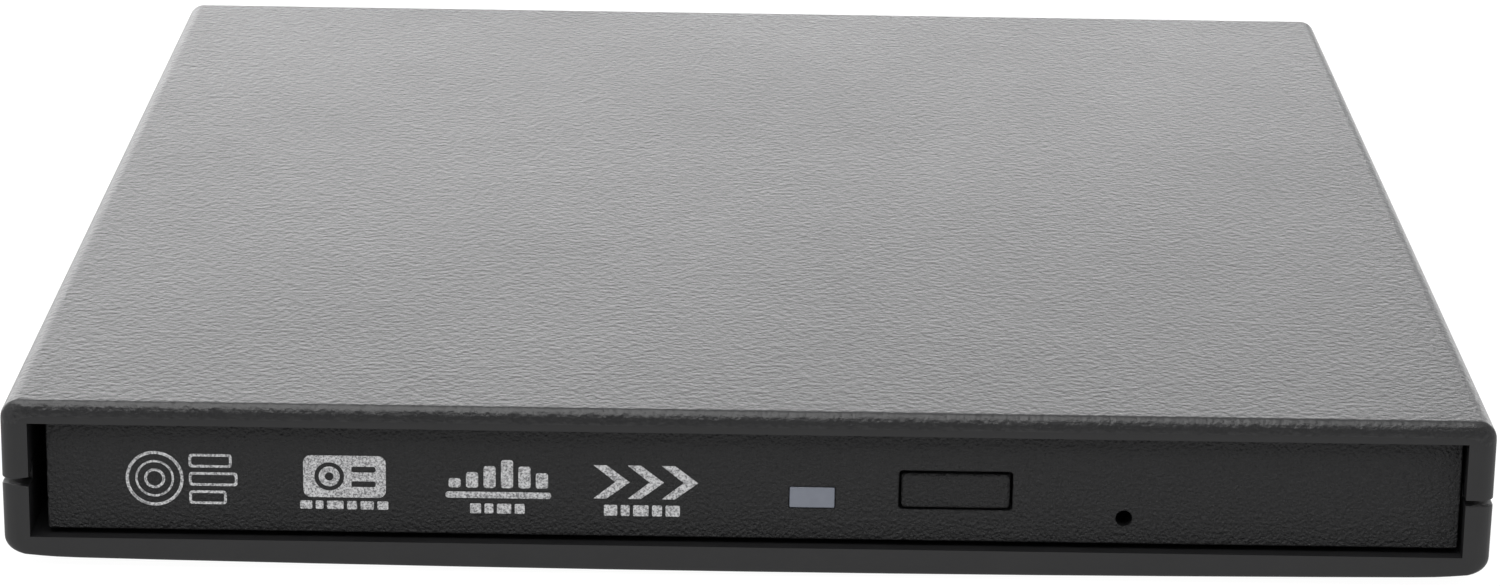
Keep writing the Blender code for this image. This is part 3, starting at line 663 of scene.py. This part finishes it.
EJECT_HOLE = Vector((34.14, 0, 5.89)) * MM
EJECT_HOLE_RADIUS = 0.76 * MM
EJECT_HOLE_IN_TRAY = (-76 * MM, -68 * MM)
BUTTON_ROOM_LOW = Vector((0.23, 0, 0.18)) * MM
BUTTON_ROOM_HIGH = Vector((0.26, 0, 0.33)) * MM
BUTTON_OPENING_CORNER = 0.35 * MM
BUTTON_STEM_DEPTH = 2.5 * MM
BUTTON_STEM = mm_vectors((17.4, 0, 6.8), (20.2, 0, 8.2))
LED_ROOM = Vector((0.05, 0, 0.05)) * MM
LED_OPENING_CORNER = 0.1 * MM


def at_y(point, y):
    return Vector((point.x, y, point.z))


def make_bezel():
    """The panel, pierced by the button's and the window's openings and by the eject hole."""
    bezel = front_panel("bezel_panel", BEZEL_LOW, BEZEL_HIGH, corner=0.3 * MM, edge=0.2 * MM)
    front, back = BEZEL_LOW.y - MM, BEZEL_HIGH.y + MM
    button_low = at_y(BUTTON_LOW - BUTTON_ROOM_LOW, front)
    button_high = at_y(BUTTON_HIGH + BUTTON_ROOM_HIGH, back)
    led_low, led_high = at_y(LED_LOW - LED_ROOM, front), at_y(LED_HIGH + LED_ROOM, back)
    carve(
        bezel,
        front_panel("button opening", button_low, button_high, BUTTON_OPENING_CORNER, SHARP, steps=1),
        front_panel("led opening", led_low, led_high, LED_OPENING_CORNER, SHARP, steps=1),
        cylinder("eject hole", at_y(EJECT_HOLE, front), at_y(EJECT_HOLE, back), EJECT_HOLE_RADIUS),
    )
    soften(bezel, 0.06 * MM, segments=1, angle=60)
    bezel.data.materials.append(BEZEL_GRAIN)
    settle(bezel, "tray_unit", "bezel_plastic", "bezel")


def make_eject_button():
    """A rounded cap on a stem that reaches back to the switch."""
    cap_back = BUTTON_HIGH.y - BUTTON_STEM_DEPTH
    cap_high = at_y(BUTTON_HIGH, cap_back)
    button = front_panel("eject_button_cap", BUTTON_LOW, cap_high, corner=0.4 * MM, edge=0.28 * MM)
    stem_low = at_y(BUTTON_STEM[0], cap_back - 0.3 * MM)
    stem_high = at_y(BUTTON_STEM[1], BUTTON_HIGH.y)
    carve(button, block("button stem", stem_low, stem_high), operation="UNION")
    smooth(button)
    button.data.materials.append(BUTTON_GRAIN)
    settle(button, "button", "button_plastic", "eject_button")


def make_status_window():
    """The small light window beside the button."""
    window = front_panel("status_window", LED_LOW, LED_HIGH, corner=0.12 * MM, edge=0.12 * MM)
    smooth(window)
    window.data.materials.append(WINDOW)
    settle(window, "tray_unit", "led_plastic", "led_window")


# Tray. Plain numbers here are millimetres; vectors are in metres.

TRAY_TOP = 12.0
TRAY_HALF_WIDTH = 59.3
TRAY_WALL = Vector((1.2, 1.2, 0)) * MM
TRAY_CEILING = 8.5
DISC_SEAT_RADIUS, DISC_SEAT_FLOOR = 60.7, 9.7
SMALL_SEAT_RADIUS, SMALL_SEAT_FLOOR = 40.5, 9.25
SEAT_CHAMFER, SEAT_FILLET = 0.35, ((0.0, 0.3), (0.1, 0.1), (0.3, 0.0))
HUB_WINDOW_RADIUS = 16
PICKUP_WINDOW = mm_vectors((0, -14.2, 0), (67.6, 14.2, 20))
BOARD_BAY = mm_vectors((8, 20, 0), (56, 60, TRAY_CEILING))
BUTTON_STEM_HOLE = mm_vectors((17, -72, 6.5), (20.6, -69, 8.5))
PLUNGER_HOLE = mm_vectors((-45, 50, 6.8), (-45, 56, 6.8))
LATCH_PIVOT = mm_vectors((47, -49, 5.3), (47, -49, 9.0))
TONGUE_REACH = (58.8, 61.1)
TONGUE_LOW, TONGUE_HIGH = mm_vectors((0, -68, 6.8), (0, 54, 7.8))


def round_seat(name, radius, floor, rim):
    """A cutter for a disc seat: a chamfered rim and a small fillet at the foot of its wall."""
    top, mouth = rim + 1.0, radius + 1.0 + SEAT_CHAMFER
    profile = [(0.0, top), (mouth, top), (radius, rim - SEAT_CHAMFER)]
    profile += [(radius - inset, floor + height) for inset, height in SEAT_FILLET]
    return turned(name, mm_profile(*profile, (0.0, floor)), SPINDLE, 256)


def make_tray():
    """The hollow moulding: two disc seats, windows for the hub and the pickup, and a tongue in each rail."""
    low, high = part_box("tray")
    middle = (low.x + high.x) / 2
    half = TRAY_HALF_WIDTH * MM
    body_low, body_high = Vector((middle - half, low.y, low.z)), Vector((middle + half, high.y, high.z))
    tray = plate("tray_moulding", body_low, body_high, corner=3 * MM, edge=0.5 * MM)
    cavity_low = body_low + TRAY_WALL - Vector((0, 0, MM))
    cavity_high = body_high - TRAY_WALL
    cavity_high.z = TRAY_CEILING * MM
    hub = mm_profile((0, 20), (HUB_WINDOW_RADIUS, 20), (HUB_WINDOW_RADIUS, 0), (0, 0))
    carve(
        tray,
        block("tray cavity", cavity_low, cavity_high),
        round_seat("disc seat", DISC_SEAT_RADIUS, DISC_SEAT_FLOOR, TRAY_TOP),
        round_seat("small disc seat", SMALL_SEAT_RADIUS, SMALL_SEAT_FLOOR, DISC_SEAT_FLOOR),
        turned("hub window", hub, SPINDLE, 128),
        on_traverse(plate("pickup window", *PICKUP_WINDOW, corner=2 * MM, edge=SHARP, steps=1)),
        block("board bay", *BOARD_BAY),
        block("button stem hole", *BUTTON_STEM_HOLE),
        cylinder("eject hole", *(at_y(EJECT_HOLE, y) for y in EJECT_HOLE_IN_TRAY), EJECT_HOLE_RADIUS),
        cylinder("plunger hole", *PLUNGER_HOLE, radius=1.1 * MM),
    )
    tongues = []
    for side in (-1, 1):
        left, right = sorted(middle + side * reach * MM for reach in TONGUE_REACH)
        low, high = (left, *TONGUE_LOW.yz), (right, *TONGUE_HIGH.yz)
        tongues.append(block("tray tongue", low, high))
    carve(tray, *tongues, cylinder("latch pivot", *LATCH_PIVOT, radius=1 * MM), operation="UNION")
    smooth(tray, 30)
    tray.data.materials.append(TRAY_SATIN)
    settle(tray, "tray_unit", "tray_plastic", "tray")


# The pickup's cover: its outline round the hub and along the run, and its rolled edge as (inset, height)
COVER_HUB_RADIUS, COVER_HALF_WIDTH, COVER_LENGTH, COVER_CORNER = 15.6, 13.8, 67.2, 1.8
COVER_EDGE = ((0, 8.9), (0, 9.2), (0.03, 9.27), (0.1, 9.3))
ROTOR_HOLE = ((0, 10), (11.65, 10), (10.8, 9.15), (10.8, 8), (0, 8))
LENS_SLOT = mm_vectors((14.5, -5.2, 8), (65, 5.2, 10))
DIMPLE = ((0, 10), (2.2, 10), (1.35, 9.15), (0, 9.15))
DIMPLE_PLACES = mm_vectors((62.5, 10.5, 0), (62.5, -10.5, 0), (22.0, 10.5, 0), (22.0, -10.5, 0))


def cover_outline(inset, z):
    """Outline round the hub and along the pickup's run, drawn in by the inset."""
    radius, half, end = (size - inset for size in (COVER_HUB_RADIUS, COVER_HALF_WIDTH, COVER_LENGTH))
    join = math.degrees(math.asin(half / radius))
    points = arc(0, 0, radius, join, 360 - join, 64)
    points += arc(end - COVER_CORNER, COVER_CORNER - half, COVER_CORNER, -90, 0)
    points += arc(end - COVER_CORNER, half - COVER_CORNER, COVER_CORNER, 0, 90)
    return [(x * MM, y * MM, z * MM) for x, y in points]


def make_traverse_cover():
    """The sheet round the pickup's slot, with stamped dimples where its screws would sit."""
    cover = on_traverse(loft("pickup_cover", [cover_outline(inset, z) for inset, z in COVER_EDGE]))
    tools = [
        turned("rotor hole", mm_profile(*ROTOR_HOLE), SPINDLE, 128),
        on_traverse(plate("lens slot", *LENS_SLOT, corner=1.5 * MM, edge=SHARP, steps=1)),
    ]
    for place in DIMPLE_PLACES:
        tools.append(turned("dimple", mm_profile(*DIMPLE), TRAVERSE @ place, 48))
    carve(cover, *tools)
    smooth(cover, 30)
    cover.data.materials.append(SHEET)
    settle(cover, "tray_unit", "sheet_steel", "traverse_cover")


# The hub from its bore outwards, then down its flange, and the ring of rubber on the flange
HUB_CROWN = [(1.3, 12.0), (2.5, 12.0), (2.6, 11.8), (3.3, 11.8), (3.4, 12.0), (6.4, 12.0), (6.7, 11.9)]
HUB_NECK = [(7.2, 11.4), (7.3, 11.1), (7.3, 10.35), (8.5, 10.35)]
HUB_FLANGE = [(8.6, 10.5), (12.1, 10.5), (12.2, 10.35), (12.4, 10.3), (12.5, 10.15), (12.5, 9.65)]
HUB_BORE = [(1.3, 9.65), (1.3, 12.0)]
RUBBER_RING = (8.5 * MM, 12.3 * MM)
RUBBER_LEVEL = 10.3 * MM
PAWL_SLOT = mm_vectors((4.2, -1.5, 10.8), (9.0, 1.5, 13.0))


def make_turntable():
    """The spindle's hub, with a rubber ring on its flange that the disc lies on."""
    profile = mm_profile(*HUB_CROWN, *HUB_NECK, *HUB_FLANGE, *HUB_BORE)
    table = turned("clamping_hub", profile, SPINDLE, 128)
    slots = []
    for index in range(3):
        slots.append(on_traverse(block(f"pawl slot {index}", *PAWL_SLOT), index * math.tau / 3))
    carve(table, *slots)
    smooth(table, 30)
    table.data.materials.append(CHIP)
    table.data.materials.append(RUBBER)
    for face in table.data.polygons:
        radius = (face.center - SPINDLE).xy.length
        on_ring = RUBBER_RING[0] < radius < RUBBER_RING[1] and face.center.z > RUBBER_LEVEL
        face.material_index = int(on_ring)
    settle(table, "spindle", "chip", "turntable")


# The lens: its place along the run in metres, then its dome and its rim in millimetres
LENS_PLACE = Vector((24, 0, 0)) * MM
LENS_DOME_RADIUS, LENS_DOME_RISE, LENS_DOME_STEPS = 1.7, 0.6, 12
LENS_RIM_RADIUS, LENS_RIM_TOP, LENS_RIM_FOOT = 1.9, 9.0, 8.7


def make_lens():
    """A domed lens with a flat rim, at the inner end of the pickup's run."""
    angles = [step / LENS_DOME_STEPS * math.pi / 2 for step in range(LENS_DOME_STEPS + 1)]
    dome = [(LENS_DOME_RADIUS * math.sin(a), LENS_RIM_TOP + LENS_DOME_RISE * math.cos(a)) for a in angles]
    rim = [(LENS_RIM_RADIUS, LENS_RIM_TOP), (LENS_RIM_RADIUS, LENS_RIM_FOOT), (0, LENS_RIM_FOOT)]
    lens = turned("lens_dome", mm_profile(*dome, *rim), TRAVERSE @ LENS_PLACE, 64)
    smooth(lens, 50)
    lens.data.materials.append(LENS)
    settle(lens, "lens", "lens_glass", "objective_lens")


# The cable's film, and how many rows each of its two layers is divided into
FILM_THICKNESS = 0.15 * MM
CABLE_ROWS = 60


def make_flat_cable():
    """The folded cable, finely divided along Y."""
    low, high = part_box("ribbon_cable")
    bend = (high.z - low.z) / 2
    fold, middle = low.y + bend, low.z + bend
    places = [fold + (high.y - fold) * row / CABLE_ROWS for row in range(1, CABLE_ROWS + 1)]

    def side(depth):
        radius = bend - depth
        lower = [(y, middle - radius) for y in reversed(places)]
        upper = [(y, middle + radius) for y in places]
        return lower + arc(fold, middle, radius, -90, -270, 12) + upper

    section = side(0) + side(FILM_THICKNESS)[::-1]
    rings = [[(x, y, z) for y, z in section] for x in (low.x, high.x)]
    cable = loft("flat_cable", rings)
    cable.data.materials.append(FLEX)
    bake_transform(cable)
    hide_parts("ribbon_cable")


# Back of the case

USB_WALL = 0.3 * MM
USB_TAPER, USB_KNEE = 0.8 * MM, 1.6 * MM
USB_CONTACTS = 5
CONTACT_LENGTH, CONTACT_THICKNESS, CONTACT_SETBACK = 4.0 * MM, 0.08 * MM, 2.2 * MM


def make_usb_shell():
    """A folded sheet shell with its lower corners drawn in."""
    low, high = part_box("usb_socket_shell")

    def section(inset, y):
        left, right, base, top = low.x + inset, high.x - inset, low.z + inset, high.z - inset
        foot = ((left + USB_TAPER, base), (right - USB_TAPER, base))
        sides = ((right, base + USB_KNEE), (right, top), (left, top), (left, base + USB_KNEE))
        return [(x, y, z) for x, z in foot + sides]

    shell = loft("usb_shell", [section(0, low.y), section(0, high.y)])
    depths = ((USB_WALL, low.y + MM), (USB_WALL, high.y - USB_WALL), (USB_WALL / 3, high.y + USB_WALL))
    carve(shell, loft("usb mouth", [section(inset, y) for inset, y in depths]))
    soften(shell, 0.12 * MM)
    shell.data.materials.append(BRIGHT)
    settle(shell, "enclosure", "bright_steel", "usb_socket_shell")


def make_usb_contacts():
    """Gilded strips let into the tongue's lower face."""
    low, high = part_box("usb_socket_tongue")
    pitch = (high.x - low.x) / USB_CONTACTS
    size = (pitch / 2, CONTACT_LENGTH, CONTACT_THICKNESS)
    shape = bmesh.new()
    for index in range(USB_CONTACTS):
        strip = bmesh.ops.create_cube(shape, size=1.0)["verts"]
        centre = (low.x + (index + 0.5) * pitch, high.y - CONTACT_SETBACK, low.z - CONTACT_THICKNESS / 4)
        bmesh.ops.scale(shape, verts=strip, vec=size)
        bmesh.ops.translate(shape, verts=strip, vec=centre)
    contacts = piece_from(shape, "usb_contacts")
    contacts.data.materials.append(GOLD)
    settle(contacts, "enclosure", "bright_steel")


# A case screw: its thread's radius and point, and its head from the shoulder down, as (radius, height)
THREAD_RADIUS, THREAD_POINT = 1.1, 0.6
SCREW_HEAD = ((1.1, 1.1), (2.2, 1.1), (2.2, 0.3), (2.1, 0.1), (1.8, 0.0), (0.0, 0.0))
CROSS_ARMS = mm_vectors((1.1, 0.28, 0), (0.28, 1.1, 0))
CROSS_DEPTH = 0.6 * MM


def make_case_screws():
    """Pan head screws with a cross recess, their heads facing down."""
    for node in CASE_SCREWS:
        low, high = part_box(node)
        middle = (low + high) / 2
        tip, foot = high.z / MM, low.z / MM
        profile = [(0, tip), (THREAD_RADIUS, tip - THREAD_POINT)]
        profile += [(radius, foot + height) for radius, height in SCREW_HEAD]
        screw = turned(f"{node}_head", mm_profile(*profile), (middle.x, middle.y, 0), 48)
        tools = []
        for reach in CROSS_ARMS:
            bottom = Vector((middle.x, middle.y, low.z - MM))
            roof = Vector((middle.x, middle.y, low.z + CROSS_DEPTH))
            tools.append(block("cross", bottom - reach, roof + reach))
        carve(screw, *tools)
        smooth(screw, 30)
        screw.data.materials.append(SHEET)
        settle(screw, "enclosure", "sheet_steel", node)


# The remaining CAD nodes, with their edges broken by these widths in millimetres

EDGE_WIDTHS = {
    "slide_rail_left": 0.12,
    "slide_rail_right": 0.12,
    "rail_guide_left": 0.12,
    "rail_guide_right": 0.12,
    "drive_lid": 0.1,
    "drive_case": 0.1,
    "drive_bracket": 0.15,
    "tray_base_plate": 0.1,
    "traverse_frame": 0.08,
    "pickup_sled": 0.15,
    "lens_holder": 0.12,
    "feed_motor": 0.25,
    "solenoid": 0.3,
    "solenoid_plunger": 0.12,
    "bridge_chip": 0.12,
    "drive_chip": 0.12,
    "sata_socket": 0.15,
    "sata_plug": 0.15,
    "power_jack": 0.2,
    "usb_socket_tongue": 0.08,
    "eject_switch": 0.1,
    "status_led": 0.2,
    "latch_lever": 0.15,
    "clamp_pawl_1": 0.1,
    "clamp_pawl_2": 0.1,
    "clamp_pawl_3": 0.1,
}


def make_refined_nodes():
    """Merges the triangles of simple nodes into faces, and bevels their sharp edges."""
    slots = {entry["node"]: entry["material_slot"] for entry in frame["record"]["subparts"]}
    for node, width in EDGE_WIDTHS.items():
        shape = bmesh.new()
        shape.from_mesh(frame["nodes"][node].data)
        bmesh.ops.remove_doubles(shape, verts=shape.verts, dist=1e-6)
        flat = math.radians(1)
        bmesh.ops.dissolve_limit(shape, angle_limit=flat, verts=shape.verts, edges=shape.edges)
        piece = piece_from(shape, f"{node}_fine")
        soften(piece, width * MM)
        piece.data.materials.clear()
        piece.data.materials.append(SLOT_LOOKS[slots[node]])
        settle(piece, BODY_OF[node], slots[node], node)


# Printed marks: generic glyphs in ink, standing just off the bezel. Their numbers are millimetres.

INK_THICKNESS = 0.008 * MM


def ring_outline(x, z, radius, steps=40):
    angles = [index / steps * math.tau for index in range(steps)]
    return [(x + radius * math.cos(angle), z + radius * math.sin(angle)) for angle in angles]


def bar_outline(x, z, width, height, radius=0.1):
    return rounded_rectangle((x, z), (x + width, z + height), min(radius, height / 2.01, width / 2.01), 4)


def dash_row(x, z, height, widths, gap=0.32):
    """Small printed dashes of different widths, in a row from x."""
    outlines = []
    for width in widths:
        outlines.append(bar_outline(x, z, width, height, 0.12))
        x += width + gap
    return outlines


def print_mark(name, outlines):
    """Fills the outlines, in millimetres in the bezel's plane; one inside another is a hole."""
    curve = bpy.data.curves.new(name, "CURVE")
    curve.dimensions = "2D"
    curve.fill_mode = "BOTH"
    curve.extrude = INK_THICKNESS
    for outline in outlines:
        line = curve.splines.new("POLY")
        line.points.add(len(outline) - 1)
        line.use_cyclic_u = True
        for point, (x, z) in zip(line.points, outline):
            point.co = (x * MM, z * MM, 0.0, 1.0)
    piece = new_piece(name, curve)
    piece.rotation_euler.x = math.pi / 2
    piece.location.y = BEZEL_LOW.y - INK_THICKNESS
    bpy.context.view_layer.update()
    graph = bpy.context.evaluated_depsgraph_get()
    mesh = bpy.data.meshes.new_from_object(piece.evaluated_get(graph))
    mesh.transform(piece.matrix_world)
    bpy.data.objects.remove(piece)
    printed = new_piece(name, mesh)
    mesh.materials.append(PRINT)
    settle(printed, "tray_unit", "bezel_plastic")


def make_disc_mark():
    """A disc in outline beside three outlined bars."""
    rings = [ring_outline(-53.7, 8.4, radius) for radius in (2.62, 2.34, 1.75, 1.55, 0.95, 0.7)]
    bars = []
    left, height, line = -50.6, 1.3, 0.24
    for index, width in enumerate((3.9, 4.4, 3.4)):
        low = 9.5 - index * 1.75
        bars.append(bar_outline(left, low, width, height, 0.3))
        bars.append(bar_outline(left + line, low + line, width - 2 * line, height - 2 * line, 0.2))
    print_mark("mark_disc", rings + bars)


def make_badge_mark():
    """A filled badge with a ring cut out of it, over a row of dashes."""
    badge = [bar_outline(-40.25, 6.83, 7.47, 4.01, 0.7)]
    badge += [ring_outline(-37.9, 8.83, radius) for radius in (1.35, 0.95, 0.4)]
    badge += [bar_outline(-35.9, 9.25, 2.2, 0.55, 0.2), bar_outline(-35.9, 7.85, 2.2, 0.55, 0.2)]
    print_mark("mark_badge", badge + dash_row(-40.57, 5.7, 0.8, (1.1, 0.7, 1.5, 0.9, 1.2, 1.0)))


def make_level_mark():
    """Rising bars on a base line, over a row of dashes."""
    bars = [bar_outline(-27.4, 6.97, 9.6, 0.6, 0.3)]
    first, pitch = -27.1, 1.58
    for index, height in enumerate((0.9, 1.5, 2.1, 2.7, 2.1, 1.5)):
        bars.append(bar_outline(first + index * pitch, 7.95, 1.1, height, 0.25))
    print_mark("mark_level", bars + dash_row(-25.17, 5.5, 0.95, (1.0, 0.8, 1.3, 0.9)))


def make_chevron_mark():
    """Three forward chevrons, over a row of dashes."""
    outlines = []
    first, pitch = -14.0, 3.1
    low, high = 7.1, 10.3
    middle = (low + high) / 2
    for index in range(3):
        x = first + index * pitch
        front = [(x, low), (x + 1.2, low), (x + 3.3, middle)]
        outlines.append([*front, (x + 1.2, high), (x, high), (x + 2.0, middle)])
    print_mark("mark_chevrons", outlines + dash_row(-13.02, 5.45, 1.05, (1.2, 0.8, 1.4, 0.9, 1.3)))


# Stage, in metres and watts

FLOOR_REACH = 3.0
FLOOR_THICKNESS = 0.02

# Each softbox faces the object: its place, its size and its power
SOFTBOXES = {
    "back_softbox": ((-0.72, 1.6, 0.29), (2.8, 0.4), 11.4),
    "top_softbox": ((-0.3, -0.2, 1.3), (1.8, 0.8), 17.0),
    "front_softbox": ((-0.3, -0.9, 1.2), (1.6, 0.4), 7.5),
    "side_softbox": ((1.0, 1.5, 0.13), (0.7, 0.24), 1.9),
}

# The room's strength: this much everywhere, and shares of the direction's Y, X and unsigned X
ROOM_STRENGTH = 0.48
ROOM_Y, ROOM_X, ROOM_SIDES = 0.42, -0.1, 0.64
ROOM_COLOUR = (0.985, 0.99, 1.0, 1.0)


def make_floor():
    """A plain pale floor that lights itself evenly."""
    reach = FLOOR_REACH
    floor = block("floor", (-reach, -reach, -FLOOR_THICKNESS), (reach, reach, 0.0))
    look = Look("lit_floor", (0.1, 0.1, 0.1), 0.9, Specular_IOR_Level=0.1, Emission_Strength=0.97)
    look.shader.inputs["Emission Color"].default_value = (1.0, 1.0, 1.0, 1.0)
    floor.data.materials.append(look.material)


def make_lights():
    for name, (place, size, power) in SOFTBOXES.items():
        data = bpy.data.lights.new(name, "AREA")
        data.shape = "RECTANGLE"
        data.size, data.size_y = size
        data.energy = power
        light = new_piece(name, data)
        light.location = place
        light.rotation_euler = (-Vector(place)).to_track_quat("-Z", "Y").to_euler()


def make_world():
    """A pale room: bright at the back and the sides, dimmer in front."""
    world = bpy.data.worlds.new("studio")
    world.use_nodes = True
    tree = world.node_tree
    axes = tree.nodes.new("ShaderNodeSeparateXYZ")
    tree.links.new(tree.nodes.new("ShaderNodeTexCoord").outputs["Generated"], axes.inputs[0])
    side = tree.nodes.new("ShaderNodeMath")
    side.operation = "ABSOLUTE"
    tree.links.new(axes.outputs["X"], side.inputs[0])
    strength = None
    shares = ((axes.outputs["Y"], ROOM_Y), (axes.outputs["X"], ROOM_X), (side.outputs[0], ROOM_SIDES))
    for source, share in shares:
        term = tree.nodes.new("ShaderNodeMath")
        term.operation = "MULTIPLY_ADD"
        term.inputs[1].default_value = share
        term.inputs[2].default_value = ROOM_STRENGTH
        tree.links.new(source, term.inputs[0])
        if strength:
            tree.links.new(strength, term.inputs[2])
        strength = term.outputs[0]
    tree.links.new(strength, tree.nodes["Background"].inputs["Strength"])
    tree.nodes["Background"].inputs["Color"].default_value = ROOM_COLOUR
    bpy.context.scene.world = world


def make_camera():
    data = bpy.data.cameras.new("camera")
    data.lens = CAMERA_LENS
    data.sensor_width = CAMERA_SENSOR
    data.clip_start = 0.01
    camera = new_piece("camera", data)
    turn = Matrix.Rotation(-CAMERA_PAN, 4, "Z") @ Matrix.Rotation(math.pi / 2 - CAMERA_DOWN, 4, "X")
    camera.matrix_world = Matrix.Translation(CAMERA_PLACE) @ turn @ Matrix.Rotation(CAMERA_ROLL, 4, "Z")
    bpy.context.scene.camera = camera
    bpy.context.scene.view_settings.view_transform = "Standard"


make_camera()
make_world()
make_lights()
make_floor()
finish_cad_nodes()
make_top_cover()
make_bottom_cover()
make_feet()
make_bezel()
make_eject_button()
make_status_window()
make_tray()
make_traverse_cover()
make_turntable()
make_lens()
make_flat_cable()
make_usb_shell()
make_usb_contacts()
make_case_screws()
make_refined_nodes()
make_disc_mark()
make_badge_mark()
make_level_mark()
make_chevron_mark()
